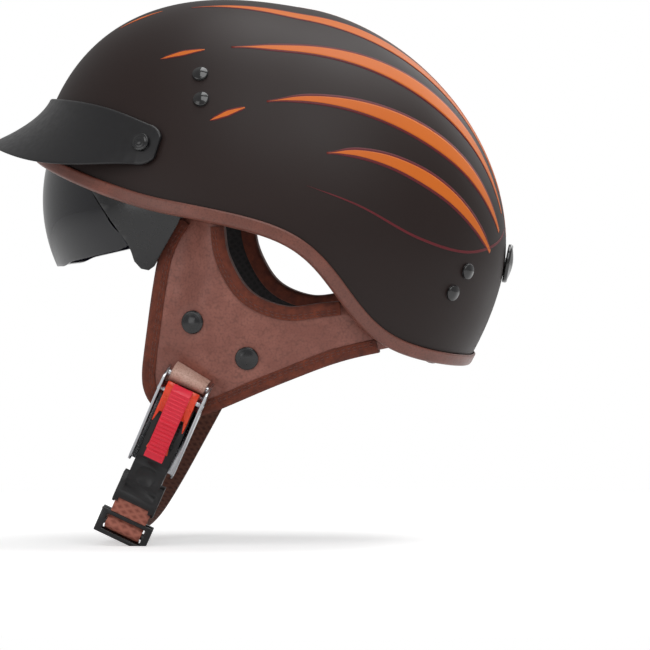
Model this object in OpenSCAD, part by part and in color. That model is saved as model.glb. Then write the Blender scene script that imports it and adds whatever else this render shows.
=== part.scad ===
// Motorcycle half helmet with drop-down sun lens, peak, ear covers and ratchet buckle.
// Millimetres. +Z up, the wearer faces -Y, the wearer's left is +X.
// The origin is the centre of the dome, on its widest line.

/* [Shell] */
// Half of the shell's width
shell_half_w = 120; // [114:1:126]
// Reach of the shell ahead of the origin
shell_front = 144; // [140:1:150]
// Reach of the shell behind the origin
shell_rear = 140; // [134:1:146]
// Height of the crown above the widest line
crown_h = 131; // [126:1:136]
// Half height of the curve that the shell's sides follow below the widest line
skirt_h = 166; // [150:1:190]
// Wall of the moulded shell
shell_t = 3.5; // [3:0.25:4]
// Height of the rim at the temples
rim_side_z = 2; // [-1:0.5:4]
// Rise of the rim at the brow above the temples
rim_brow_rise = 13.5; // [10:0.5:16]
// Drop of the rim at the nape below the temples
rim_nape_drop = 59; // [50:1:62]

/* [Edge trim] */
// Wall of the outer lip of the trim
trim_t = 1.5; // [1.2:0.1:2]
// Wall of the inner lip of the trim
trim_inner_t = 1.2; // [1:0.1:1.4]
// Height of the lips up the shell
trim_h = 5.6; // [4.5:0.1:6.5]

/* [Liner and pads] */
// Height of the gap between the shell's edge and the liner's edge
liner_edge_gap = 8; // [7:0.5:10]
// Space between shell and liner in which the webbing runs
webbing_space = 5.1; // [4.9:0.1:6]
// Half width of the space for the padded head
head_half_w = 86; // [83:0.5:88]
// Half length of the space for the padded head
head_half_l = 106; // [102:0.5:109]
// Height of the space for the padded head
head_h = 104; // [100:0.5:107]
// Thickness of the comfort pads
pad_t = 7; // [5:0.5:9]

/* [Sun lens] */
// Thickness of the lens
lens_t = 2; // [1.6:0.1:2.4]
// Radius of the lens about its pivot
lens_r = 94.2; // [92:0.2:94.4]
// Half width of the curve of the lens
lens_half_w = 105; // [103:0.5:105.5]
// Thickness of the lens arms
arm_t = 2.6; // [2.2:0.1:3]
// Radius of the pivot pin
pivot_r = 4; // [3:0.25:5]

/* [Peak] */
// Thickness of the peak
peak_t = 2.5; // [2:0.1:3]
// Reach of the peak beyond the shell at the centre
peak_reach = 25; // [18:1:32]
// Radius of the post that carries the peak
post_r = 3; // [2.5:0.25:3.5]
// Radius of the peak's snap caps
peak_cap_r = 5; // [4.5:0.25:6.5]

/* [Ear covers] */
// Thickness of the padded leather cover
cover_t = 5; // [4:0.25:6]
// Thickness of the inner lining
lining_t = 4; // [3:0.25:5]
// Thickness of the stitched binding
binding_t = 1; // [0.8:0.1:1.3]
// Width of the stitched binding
binding_w = 6.5; // [5:0.5:8]
// Radius of the snap caps on the covers
cover_cap_r = 6.7; // [6:0.1:8]

/* [Straps and buckle] */
// Width of the chin strap
strap_w = 22; // [20:0.5:24]
// Thickness of the straps
strap_t = 1.5; // [1.2:0.1:1.8]
// Width of the buckle's frame
buckle_w = 28; // [27:0.5:32]
// Length of the buckle's frame
buckle_l = 60; // [56:1:66]
// Sheet of the buckle's frame
buckle_sheet = 1.4; // [1.2:0.1:1.8]
// Width of the ratchet tongue
tongue_w = 20; // [18:0.5:21]
// Pitch of the ratchet teeth
tooth_pitch = 2.6; // [2.2:0.1:3]
// Length of the release lever
lever_l = 48; // [44:1:51]
// Width of the release lever
lever_w = 19.5; // [17:0.5:20.5]
// Radius of the lever's pin
lever_pin_r = 1.5; // [1.2:0.1:1.8]

/* [Hardware] */
// Radius of the anchor rivets' heads
rivet_head_r = 4.6; // [4:0.1:5.5]
// Radius of the anchor rivets' shanks
rivet_shank_r = 2; // [1.6:0.1:2.4]
// Radius of the button at the rear
button_r = 11.5; // [9:0.5:13]

/* [Hidden] */

seat = 0.3;          // clearance at which pieces seat on each other
run = 0.08;          // radial clearance of a pin in its bore

// ---------- dome ----------
side_plan_exp = 2.15;    // roundness of the shell seen from above
rear_plan_exp = 0.3;     // how much squarer the rear is
side_exp = 1.96;         // roundness of the shell seen from ahead
front_exp = 0.64;        // how much fuller the front is
rear_exp = -0.12;        // how much the rear falls away

function sq(x) = x * x;
function tanh(x) = 1 - 2 / (exp(2 * x) + 1);
function smooth(a, b, x) = let (u = min(1, max(0, (x - a) / (b - a)))) u * u * (3 - 2 * u);
function plan_r(a, d) =
    let (m = side_plan_exp + (sin(a) > 0 ? rear_plan_exp * sq(sin(a)) : 0),
         l = (sin(a) > 0 ? shell_rear : shell_front) - d)
    pow(pow(abs(cos(a)) / (shell_half_w - d), m) + pow(abs(sin(a)) / l, m), -1 / m);
function side_pow(a) = side_exp + (sin(a) > 0 ? rear_exp : front_exp) * sq(sin(a));
// Distance from the origin to the dome, d inside the outer face, at azimuth a and t from +Z
function dome_r(a, t, d) =
    let (n = side_pow(a), c = (cos(t) > 0 ? crown_h : skirt_h) - d)
    pow(pow(sin(t) / plan_r(a, d), n) + pow(abs(cos(t)) / c, n), -1 / n);
function polar(r, a, t) = [r * sin(t) * cos(a), r * sin(t) * sin(a), r * cos(t)];
function dome_p(a, t, d) = polar(dome_r(a, t, d), a, t);
function rim_z(y) =
    rim_side_z + rim_brow_rise * pow(max(0, (-y - 55) / 88), 1.6)
    - rim_nape_drop / 2 * (1 + tanh((y - 54) / 30));
function rim_search(a, lo, hi, k) =
    let (m = (lo + hi) / 2, p = dome_p(a, m, 0))
    k == 0 ? m : p[2] > rim_z(p[1]) ? rim_search(a, m, hi, k - 1) : rim_search(a, lo, m, k - 1);
function rim_t(a) = rim_search(a, 40, 140, 22);
// Half width of the dome, d inside the outer face, at the place (y, z)
function dome_out(x, y, z, d) =
    let (h = norm([x, y]), r = norm([h, z])) r > dome_r(atan2(y, x), atan2(h, z), d);
function side_search(y, z, d, lo, hi, k) =
    let (m = (lo + hi) / 2)
    k == 0 ? m : dome_out(m, y, z, d) ? side_search(y, z, d, lo, m, k - 1)
                                      : side_search(y, z, d, m, hi, k - 1);
function side_x(y, z, d) = side_search(y, z, d, 0, shell_half_w + 5, 20);
function unit(v) = v / norm(v);
function side_normal(y, z) =
    let (h = 1, x = side_x(y, z, 0),
         dy = (side_x(y + h, z, 0) - side_x(y - h, z, 0)) / (2 * h),
         dz = (side_x(y, z + h, 0) - side_x(y, z - h, 0)) / (2 * h))
    unit([1, -dy, -dz]);

// ---------- meshes ----------
// Triangles of a grid of r rows by c columns from point o on; turned over when flip is true
function grid_faces(r, c, o, flip, wrap) = [
    for (i = [0:r - 2], j = [0:wrap ? c - 1 : c - 2])
        let (k = (j + 1) % c, p = o + i * c + j, q = o + i * c + k,
             s = o + (i + 1) * c + j, t = o + (i + 1) * c + k)
        each flip ? [[p, q, t], [p, t, s]] : [[p, t, q], [p, s, t]]];
function flat(g) = [for (row = g) each row];
// Wall between two grids of the same size, closed along its four edges
module sheet(a, b) {
    r = len(a); c = len(a[0]); n = r * c;
    edge = concat(
        [for (j = [0:c - 2]) each [[j, j + 1, n + j + 1], [j, n + j + 1, n + j]]],
        [for (j = [0:c - 2]) let (p = (r - 1) * c + j)
            each [[p, n + p + 1, p + 1], [p, n + p, n + p + 1]]],
        [for (i = [0:r - 2]) let (p = i * c, q = p + c)
            each [[p, n + q, q], [p, n + p, n + q]]],
        [for (i = [0:r - 2]) let (p = i * c + c - 1, q = p + c)
            each [[p, q, n + q], [p, n + q, n + p]]]);
    polyhedron(concat(flat(a), flat(b)),
        concat(grid_faces(r, c, 0, false, false), grid_faces(r, c, n, true, false), edge));
}
// Solid through closed rings, with a tip at each end
module lofted(rings, tip_a, tip_b) {
    r = len(rings); c = len(rings[0]); n = r * c;
    polyhedron(concat(flat(rings), [tip_a, tip_b]), concat(
        grid_faces(r, c, 0, false, true),
        [for (j = [0:c - 1]) [n, j, (j + 1) % c]],
        [for (j = [0:c - 1]) [n + 1, n - c + (j + 1) % c, n - c + j]]));
}
// Solid through closed rings that meet end to end
module looped(rings) {
    r = len(rings); c = len(rings[0]);
    polyhedron(flat(rings),
        [for (f = grid_faces(r + 1, c, 0, false, true)) [for (v = f) v % (r * c)]]);
}
// Points of a smooth curve through p, with m steps between neighbours
function curve_at(p, i, u) =
    let (n = len(p), a = p[max(0, i - 1)], b = p[i], c = p[min(n - 1, i + 1)],
         d = p[min(n - 1, i + 2)])
    0.5 * ((2 * b) + (c - a) * u + (2 * a - 5 * b + 4 * c - d) * u * u
        + (3 * b - a - 3 * c + d) * u * u * u);
function curve(p, m) =
    concat([for (i = [0:len(p) - 2], k = [0:m - 1]) curve_at(p, i, k / m)], [p[len(p) - 1]]);

// Puts its children on the dome's side at (y, z), with +Z along the outward normal
module on_side(y, z) {
    n = side_normal(y, z);
    translate([side_x(y, z, 0), y, z]) rotate([0, acos(n[2]), atan2(n[1], n[0])]) children();
}
module both_sides() { children(); mirror([1, 0, 0]) children(); }

// ---------- shell, trim, liner ----------
columns = 60;
rows = 12;
AZ = [for (i = [0:columns - 1]) 360 * i / columns];
RIM = [for (a = AZ) rim_t(a)];
function dome_ring(v, d) = [for (i = [0:columns - 1]) dome_p(AZ[i], RIM[i] * v, d)];

rivet_front = [[-49, 81], [-45, 67]];
rivet_rear = [[115, -15.5], [121, -2]];
post_at = [-72, 36];              // y and z of the peak's axis
lens_at = [-44, 8];               // y and z of the lens's axis
button_z = 4.5;

module outer_shell() {
    color("#2b2120") difference() {
        lofted(concat([for (k = [1:rows]) dome_ring(k / rows, 0)],
                      [for (k = [rows:-1:1]) dome_ring(k / rows, shell_t)]),
               [0, 0, crown_h], [0, 0, crown_h - shell_t]);
        both_sides() for (p = concat(rivet_front, rivet_rear)) on_side(p[0], p[1])
            translate([0, 0, -8]) cylinder(r = rivet_shank_r + seat, h = 12, $fn = 24);
        translate([0, shell_rear + 4, button_z]) rotate([90, 0, 0])
            cylinder(r = button_shank_r + seat, h = 12, $fn = 24);
        both_sides() translate([side_x(post_at[0], post_at[1], 0) - 12, post_at[0], post_at[1]])
            rotate([0, 90, 0]) cylinder(r = stud_shank_r + seat, h = 20, $fn = 24);
    }
}

function rim_p(i) = dome_p(AZ[(i + columns) % columns], RIM[(i + columns) % columns], 0);
trim_gap = 0.42;
// Section of the trim: [out from the shell's face, down past its edge]
trim_section = let (c = trim_gap, t = trim_t, s = shell_t + trim_gap, b = trim_inner_t) [
    [c, -trim_h], [c + t * 0.6, -trim_h - 0.5], [c + t, -trim_h + 0.4], [c + t, 0.2],
    [c + t * 0.4, 1.6], [-shell_t / 2, 2.2], [-s - b * 0.4, 1.6], [-s - b, 0.2],
    [-s - b, -trim_h + 0.8], [-s, -trim_h + 0.3], [-s, c], [c, c]];
module edge_trim() {
    color("#7a4a3c") looped([for (i = [0:columns - 1])
        let (p = rim_p(i), along = unit(rim_p(i + 1) - rim_p(i - 1)),
             up = dome_p(AZ[i], RIM[i] * 0.97, 0) - p,
             out = unit(cross(up, along)), down = unit(cross(out, along)),
             o = out * p > 0 ? out : -out, w = down[2] < 0 ? down : -down)
        [for (s = trim_section) p + o * s[0] + w * s[1]]]);
}

// The space that the lens sweeps, as a curve of revolution about its pivot
lens_exp = 1.9;
lens_room = 3.4;                  // from the lens's outer face to the liner
arm_room = 8.4;                   // from the tip of the lens's curve to the liner at the hubs
lens_top = 68;                    // angle above the front to which the lens needs room
function lens_out(p) =
    let (q = norm([p[1] - lens_at[0], p[2] - lens_at[1]]))
    pow(abs(p[0]) / (lens_half_w - arm_room), lens_exp)
    + pow(q / (lens_r - lens_room), lens_exp) > 1;
function lens_search(a, t, lo, hi, k) =
    let (m = (lo + hi) / 2)
    k == 0 ? m : lens_out(polar(m, a, t)) ? lens_search(a, t, lo, m, k - 1)
                                          : lens_search(a, t, m, hi, k - 1);
function liner_d(v) = shell_t + 0.5 + (webbing_space - 0.5) * smooth(0.42, 0.55, v);
function liner_p(a, t, v) =
    let (r = dome_r(a, t, liner_d(v)), p = polar(r, a, t),
         f = atan2(p[2] - lens_at[1], lens_at[0] - p[1]),
         near = norm([p[1] - lens_at[0], p[2] - lens_at[1]]) < 20)
    (p[1] < lens_at[0] && f < lens_top) || near ? polar(min(r, lens_search(a, t, 20, 150, 20)), a, t) : p;
function liner_v(i) = 1 - liner_edge_gap / (norm(rim_p(i)) * RIM[i] * PI / 180);
function liner_ring(k) = [for (i = [0:columns - 1])
    let (v = k / rows * liner_v(i)) liner_p(AZ[i], RIM[i] * v, v)];
// Point of the head's form, grown by g
function head_p(a, t, g) =
    polar(1 / norm([sin(t) * cos(a) / (head_half_w + g), sin(t) * sin(a) / (head_half_l + g),
                    cos(t) / (head_h + g)]), a, t);
module impact_liner() {
    color("#1c1a1a") lofted(concat([for (k = [1:rows]) liner_ring(k)],
        [for (k = [rows:-2:2]) [for (i = [0:columns - 1])
            head_p(AZ[i], RIM[i] * k / rows * liner_v(i), 0)]]),
        [0, 0, crown_h - shell_t - 0.5], [0, 0, head_h]);
}

pad_columns = 30;
function pad_ring(v, g) = [for (i = [0:pad_columns - 1])
    head_p(AZ[2 * i], RIM[2 * i] * v * liner_v(2 * i), g)];
module crown_pad() {
    color("#161414") lofted(concat([for (v = [2:2:6]) pad_ring(v / rows, -0.8)],
        [pad_ring(7.4 / rows, -1)], [pad_ring(7.3 / rows, -0.8 - pad_t)],
        [for (v = [6:-2:2]) pad_ring(v / rows, -0.8 - pad_t)]),
        [0, 0, head_h - 0.8], [0, 0, head_h - 0.8 - pad_t]);
}
module headband() {
    color("#161414") looped_band([for (v = [7.7, 8, 10, 11.5]) pad_ring(v / rows, -0.8)],
                                 [for (v = [11.3, 10, 8, 7.8]) pad_ring(v / rows, -0.8 - pad_t)]);
}
module looped_band(outer, inner) {
    g = concat(outer, inner);
    looped([for (j = [0:len(g[0]) - 1]) [for (i = [len(g) - 1:-1:0]) g[i][j]]]);
}

// Quilted roll under the liner's edge at the nape
roll_d = [7.5, 10, 16, 23, 26, 23, 15, 9.5];
roll_v = [0.5, 0, 0, 0.1, 0.55, 0.95, 1, 0.9];
roll_drop = 9;                    // how far the roll hangs below the shell's edge
module neck_roll() {
    first = 56; last = 124; step = 4;
    color("#5e352a") {
        rings = [for (a = [first:step:last])
            let (rt = rim_t(a), rr = norm(dome_p(a, rt, 0)) * PI / 180,
                 top = rt - (liner_edge_gap - seat - 0.2) / rr, end = smooth(0, 3 * step, min(a - first, last - a)),
                 low = rt + roll_drop * (0.4 + 0.6 * end) / rr)
            [for (k = [0:len(roll_d) - 1]) dome_p(a, top + (low - top) * roll_v[k], roll_d[k])]];
        lofted([for (r = rings) rev(r)], middle(rings[0]), middle(rings[len(rings) - 1]));
    }
}
function rev(l) = [for (i = [len(l) - 1:-1:0]) l[i]];
function middle(r) = (r[2] + r[6]) / 2;

// ---------- fasteners ----------
button_shank_r = 3;
stud_shank_r = 2;
tail_d = shell_t + webbing_space - 0.5;
module dome_head(r, h) {
    ball = (r * r + h * h) / (2 * h);
    intersection() {
        translate([0, 0, h - ball]) sphere(r = ball, $fn = 48);
        cylinder(r = r + 1, h = h + 1, $fn = 48);
    }
}
module rivet() {
    translate([0, 0, seat]) dome_head(rivet_head_r, 2.4);
    translate([0, 0, -tail_d]) cylinder(r = rivet_shank_r, h = tail_d + seat + 0.5, $fn = 24);
    translate([0, 0, -tail_d]) cylinder(r = rivet_shank_r * 1.8, h = 0.8, $fn = 24);
}
module front_rivets() {
    color("#111111") both_sides() for (p = rivet_front) on_side(p[0], p[1]) rivet();
}
module rear_rivets() {
    color("#111111") both_sides() for (p = rivet_rear) on_side(p[0], p[1]) rivet();
}
module rear_button() {
    color("#111111") translate([0, shell_rear + seat, button_z]) rotate([-90, 0, 0]) {
        dome_head(button_r, 3.6);
        translate([0, 0, -shell_t - 2.6]) cylinder(r = button_shank_r, h = shell_t + 3.6, $fn = 24);
        translate([0, 0, -shell_t - 2.6]) cylinder(r = button_shank_r * 1.7, h = 1, $fn = 24);
    }
}

// ---------- ear covers ----------
cover_inset = 13.5;               // how far the cover stands inside the shell's outline
arm_shift = 10;                   // how far the cover ducks under the lens arm
cover_curve = 230;                // how fast the covers close in towards the chin
function cover_x(y, z) =
    plan_x(y) * sqrt(1 - sq(z / cover_curve)) - cover_inset
    - arm_shift * (1 - smooth(-42, -18, y)) * smooth(-78, -32, z);
function plan_x(y) =
    let (l = y > 0 ? shell_rear : shell_front)
    shell_half_w * pow(max(0, 1 - pow(abs(y) / l, side_plan_exp)), 1 / side_plan_exp);
cover_top = 2.5;                  // how far the cover's top edge stands below the rim's line
function rim_pt(y, dz) = [y, rim_z(y) + dz];
notch_line = curve([rim_pt(-20, -cover_top), [-14, -18], [2, -36], [24, -41], [42, -36],
                    rim_pt(56, -cover_top)], 4);
outer_line = curve([rim_pt(-45, -cover_top), [-53, -25], [-51, -70], [-47, -104], [-22, -114],
                    [22, -87], [58, -65], rim_pt(86, -cover_top)], 3);
function at_part(c, u) = let (n = len(c) - 1, k = min(n - 1, floor(u * n)), f = u * n - k)
    c[k] * (1 - f) + c[k + 1] * f;
cover_rows = 24;
cover_cells = 5;
function cover_yz(i, j) =
    let (u = i / cover_rows, w = j / cover_cells)
    at_part(notch_line, u) * (1 - w) + at_part(outer_line, u) * w;
function cover_grid(rows, cells, depth) = [for (i = [0:rows]) [for (j = [0:cells])
    let (q = cover_yz(i * cover_rows / rows, j * cover_cells / cells))
    [cover_x(q[0], q[1]) - depth, q[0], q[1]]]];
slit_from = [-37, -79];
slit_to = [-5, -94];
slit_h = 5;
slit_mid = (slit_from + slit_to) / 2;
slit_angle = atan2(slit_to[1] - slit_from[1], slit_to[0] - slit_from[0]);
cover_caps_at = [[-26.7, -58.5], [7.5, -73]];
cap_shank_r = 1.8;
function cover_normal(y, z) =
    unit([1, (cover_x(y - 2, z) - cover_x(y + 2, z)) / 4, (cover_x(y, z - 2) - cover_x(y, z + 2)) / 4]);
module slit_cut(h, depth) {
    translate([cover_x(slit_mid[0], slit_mid[1]), slit_mid[0], slit_mid[1]])
        rotate([slit_angle, 0, 0]) translate([-depth, -norm(slit_to - slit_from) / 2, -h / 2])
        cube([depth * 2, norm(slit_to - slit_from), h]);
}
module at_cap(p) {
    n = cover_normal(p[0], p[1]);
    translate([cover_x(p[0], p[1]), p[0], p[1]]) rotate([0, acos(n[2]), atan2(n[1], n[0])]) children();
}
module ear_cover() {
    color("#8a5140") difference() {
        sheet(cover_grid(cover_rows, cover_cells, 0), cover_grid(cover_rows, cover_cells, cover_t));
        slit_cut(slit_h, 14);
        for (p = cover_caps_at) at_cap(p) translate([0, 0, -12])
            cylinder(r = cap_shank_r + seat, h = 24, $fn = 24);
    }
}
module ear_cover_left() ear_cover();
module ear_cover_right() mirror([1, 0, 0]) ear_cover();

web_gap = 4.2;                    // between cover and lining, for the webbing
lining_in = 0.3;                  // cells of the cover by which the lining stays inside its edges
function lining_grid(depth) = [for (i = [0:14]) [for (j = [0:3])
    let (q = cover_yz(i * cover_rows / 14, lining_in + j * (cover_cells - 2 * lining_in) / 3))
    [cover_x(q[0], q[1]) - depth, q[0], q[1]]]];
module ear_lining() {
    color("#151313") sheet(lining_grid(cover_t + web_gap), lining_grid(cover_t + web_gap + lining_t));
}
module ear_lining_left() ear_lining();
module ear_lining_right() mirror([1, 0, 0]) ear_lining();

// Binding: a channel round the cover's edge; inward is the direction into the cover
function binding_ring(p, q) =
    let (inward = unit(q - p), c = 0.5, b = binding_t, t = cover_t + web_gap + lining_t + 0.2,
         s = [[binding_w, c], [binding_w, c + b], [0.6, c + b], [-c - b, -0.8],
              [-c - b, 0.8 - t], [0.6, -t - c - b], [binding_w, -t - c - b],
              [binding_w, -t - c], [-c, -t - c], [-c, c]])
    [for (k = s) let (y = p[0] + inward[0] * k[0], z = p[1] + inward[1] * k[0])
        [cover_x(y, z) + k[1], y, z]];
function edge_ring(u, j, k) =
    binding_ring(cover_yz(u * cover_rows, j), cover_yz(u * cover_rows, k));
module binding_run(first, last, n, j, k) {
    rings = [for (i = [0:n]) edge_ring(first + (last - first) * i / n, j, k)];
    use = j == 0 ? [for (r = rings) [for (m = [9:-1:0]) r[m]]] : rings;
    cap = j == 0 ? [for (t = cap_tris) [9 - t[2], 9 - t[1], 9 - t[0]]] : cap_tris;
    polyhedron(flat(use), concat(grid_faces(n + 1, 10, 0, false, true),
        [for (t = cap) [t[2], t[1], t[0]]],
        [for (t = cap) [t[0] + n * 10, t[1] + n * 10, t[2] + n * 10]]));
}
cap_tris = [[0, 1, 2], [0, 2, 9], [9, 2, 3], [9, 3, 4], [9, 4, 8], [8, 4, 5], [8, 5, 6], [8, 6, 7]];
module ear_binding() {
    color("#7d3a22") {
        binding_run(0.02, 0.9, 20, cover_cells, 0);
        binding_run(0.02, 0.9, 16, 0, cover_cells);
    }
}
module ear_binding_left() ear_binding();
module ear_binding_right() mirror([1, 0, 0]) ear_binding();

module cover_caps() {
    color("#141414") for (p = cover_caps_at) at_cap(p) {
        translate([0, 0, seat + 0.2]) dome_head(cover_cap_r, 2);
        translate([0, 0, 0.5 - cover_t]) cylinder(r = cap_shank_r, h = cover_t + 0.5, $fn = 24);
    }
}
module cover_caps_left() cover_caps();
module cover_caps_right() mirror([1, 0, 0]) cover_caps();

// ---------- webbing ----------
web_w = 14;
web_d = shell_t + 1.5;
function web_x(y, z, k) =
    let (s = smooth(rim_z(y) - 0.5, rim_z(y) + 8, z))
    (cover_x(y, z) - cover_t - 1.05 - k) * (1 - s)
    + side_x(y, max(z, rim_z(y)), web_d + k) * s;
function web_grid(path, k, side) = [for (i = [0:len(path) - 1])
    let (p = path[i], d = unit(path[min(i + 1, len(path) - 1)] - path[max(i - 1, 0)]),
         n = [-d[1], d[0]])
    [for (j = [-1:1]) let (q = p + n * j * web_w / 2 * side) [web_x(q[0], q[1], k), q[0], q[1]]]];
module leg(path) sheet(web_grid(path, 0, 1), web_grid(path, strap_t, 1));
front_leg = curve([[-50, 88], [-44, 66], [-36, 36], [-28, 12], [-27.5, 0], [-27.5, -30], [-25, -68]], 4);
rear_leg = curve([[125, 2], [118, -9], [96, -24], [78, -36], [68, -46], [40, -55], [0, -62]], 4);
module webbing() {
    color("#141313") difference() {
        union() { leg(front_leg); leg(rear_leg); }
        for (p = concat(rivet_front, rivet_rear)) on_side(p[0], p[1])
            translate([0, 0, -10]) cylinder(r = rivet_shank_r + seat, h = 12, $fn = 24);
    }
}
module webbing_left() webbing();
module webbing_right() mirror([1, 0, 0]) webbing();

// ---------- sun lens ----------
lens_profile_n = 22;
function lens_curve(inset, r_from) =
    [for (k = [0:lens_profile_n])
        let (r = r_from + (lens_r - inset - r_from) * sin(90 * k / lens_profile_n))
        [r, (lens_half_w - inset) * pow(max(0, 1 - pow(r / (lens_r - inset), lens_exp)), 1 / lens_exp)]];
module about_pivot() translate([0, lens_at[0], lens_at[1]]) rotate([0, 90, 0]) children();
// Wall of revolution of thickness t on the wearer's left
module lens_wall(t, r_from) {
    about_pivot() rotate_extrude($fn = 180)
        polygon(concat(lens_curve(0, r_from), rev(lens_curve(t, r_from))));
}
hub_r = 9;
arm_side = [[-104, 23], [-100.5, 5], [-86, -9], [-72, -22], [-69.5, -26], [-67, -31], [-62.5, -34.5],
            [-58, -34.5], [-55, -31.5], [-51, -21], [-45, -5], [-42, 8], [-48, 17], [-60, 20]];
module side_prism(p, x0, x1, dy, dz) {
    translate([x0, dy, dz]) rotate([90, 0, 90]) linear_extrude(x1 - x0) polygon(p);
}
hub_x = 99.4;
hub_t = 5.1;
module lens_arm() {
    color("#0d0d10") difference() {
        union() {
            intersection() {
                lens_wall(arm_t, 8);
                side_prism(arm_side, 40, 120, 0, 0);
            }
            translate([hub_x, lens_at[0], lens_at[1]]) rotate([0, 90, 0])
                cylinder(r = hub_r, h = hub_t, $fn = 64);
        }
        translate([hub_x - 5, lens_at[0], lens_at[1]]) rotate([0, 90, 0])
            cylinder(r = pivot_r + run, h = hub_t + 10, $fn = 48);
    }
}
module lens_arm_left() lens_arm();
module lens_arm_right() mirror([1, 0, 0]) lens_arm();
lens_side = [[-150, -58.6], [-122.5, -46.6], [-112, -43.6], [-108, -40], [-66, -21.3], [-60, -10],
             [-72, 15.5], [-150, 34.5]];
module sun_lens() {
    color("#15151f", 0.85) difference() {
        intersection() {
            both_sides() lens_wall(lens_t, 30);
            side_prism(lens_side, -110, 110, 0, 0);
        }
        side_prism(concat(arm_side, [[-104, 60]]), -110, 110, -seat, -seat);
        side_prism([[-104, 24], [-72, 36], [-40, 60], [-104, 60]], -110, 110, -seat, -seat);
        side_prism([[-101, 5], [-86, -9], [-72, -22], [-40, -60], [-30, 40], [-101, 40]], -110, 110, -seat, -seat);
    }
}
boss_x = hub_x + hub_t + seat * 3;
foot_t = 1.3;
module bracket_knee() {
    on_side(lens_at[0] - 14, lens_at[1] + 12) translate([0, 0, -shell_t - 0.45 - foot_t])
        cylinder(r = 4.5, h = foot_t, $fn = 32);
}
module lens_bracket() {
    foot_x = side_x(post_at[0], post_at[1], shell_t) - seat;
    color("#26262a") difference() {
        union() {
            hull() {
                translate([boss_x, lens_at[0], lens_at[1]]) rotate([0, 90, 0]) cylinder(r = 7, h = 2.2, $fn = 32);
                bracket_knee();
            }
            hull() {
                bracket_knee();
                on_side(post_at[0], post_at[1]) translate([0, 0, -shell_t - seat - 0.1 - foot_t])
                    cylinder(r = 4.5, h = foot_t, $fn = 32);
            }
            translate([hub_x - seat, lens_at[0], lens_at[1]]) rotate([0, 90, 0])
                cylinder(r = pivot_r, h = boss_x - hub_x + seat + 1, $fn = 48);
        }
        translate([hub_x - 2, lens_at[0], lens_at[1]]) rotate([0, 90, 0])
            cylinder(r = 1.6, h = 12, $fn = 24);
        translate([foot_x - 10, post_at[0], post_at[1]]) rotate([0, 90, 0])
            cylinder(r = stud_shank_r + 0.15, h = 16, $fn = 24);
    }
}
module lens_bracket_left() lens_bracket();
module lens_bracket_right() mirror([1, 0, 0]) lens_bracket();
module lens_screw() {
    color("#8c8c90") translate([hub_x - seat * 2, lens_at[0], lens_at[1]]) rotate([0, 90, 0]) {
        translate([0, 0, -1]) cylinder(r = pivot_r + 2, h = 1, $fn = 32);
        cylinder(r = 1.5, h = 5, $fn = 24);
    }
}
module lens_screw_left() lens_screw();
module lens_screw_right() mirror([1, 0, 0]) lens_screw();

// ---------- peak ----------
peak_end_a = -30.3;
peak_columns = 28;
peak_cells = 6;
peak_end_r = 11;
peak_gap = 0.7;                   // between peak and shell at the centre
peak_gap_end = 1.7;               // the same at the posts
function peak_z(y, q, top) =
    let (far = y < post_at[0] ? 1 : sqrt(max(0.01, 1 - sq((y - post_at[0]) / peak_end_r))),
         z = top ? 47 + 3 * q + 3.5 * sin(180 * q) : 25 - 5.7 * q - 6 * sin(180 * pow(q, 1.3)))
    post_at[1] + (z - post_at[1]) * far;
// Point on the peak: column s from 0 to 1, row w from the top edge down, k inside the outer face
function peak_p(s, w, k) =
    let (a = -90 + (90 + peak_end_a) * cos(180 * s),
         y0 = plan_r(a, 0) * sin(a) * 0.975,
         q = min(1, max(0, (post_at[0] - y0) / (shell_front - 3 + post_at[0]))),
         z = peak_z(y0, q, true) * (1 - w) + peak_z(y0, q, false) * w,
         gap = peak_gap + (peak_gap_end - peak_gap) * (1 - smooth(0, 0.35, q)),
         flare = (peak_reach + 1) * pow(w, 1.8) * pow(q, 0.8),
         t = 90 - z / 1.35, p = place_z(a, z),
         out = [cos(a), sin(a), 0])
    p + out * (gap + peak_t - k + flare);
function place_search(a, z, lo, hi, k) =
    let (m = (lo + hi) / 2, p = dome_p(a, m, 0))
    k == 0 ? p : p[2] > z ? place_search(a, z, m, hi, k - 1) : place_search(a, z, lo, m, k - 1);
function place_z(a, z) = place_search(a, z, 30, 120, 20);
function peak_grid(k) = [for (i = [0:peak_columns]) [for (j = [0:peak_cells])
    peak_p(i / peak_columns, j / peak_cells, k)]];
post_x = side_x(post_at[0], post_at[1], 0);
module at_post() translate([post_x, post_at[0], post_at[1]]) rotate([0, 90, 0]) children();
module peak() {
    color("#1d1d1f") difference() {
        sheet(peak_grid(0), peak_grid(peak_t));
        both_sides() at_post() translate([0, 0, -8]) cylinder(r = post_r + run, h = 20, $fn = 48);
    }
}
post_l = 5.9;                     // reach of the post beyond the shell
module peak_caps() {
    color("#101010") both_sides() difference() {
        on_side(post_at[0], post_at[1]) translate([0, 0, peak_gap_end + peak_t + seat + 0.35])
            dome_head(peak_cap_r, 3);
        at_post() translate([0, 0, -2]) cylinder(r = post_r + run, h = post_l + 2 + seat, $fn = 48);
    }
}
module peak_studs() {
    color("#3a3a3c") both_sides() at_post() {
        translate([0, 0, 2.2]) cylinder(r = post_r, h = post_l - 2.2, $fn = 48);
        translate([0, 0, -shell_t - 2.4]) cylinder(r = stud_shank_r, h = shell_t + 5, $fn = 32);
    }
}

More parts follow.
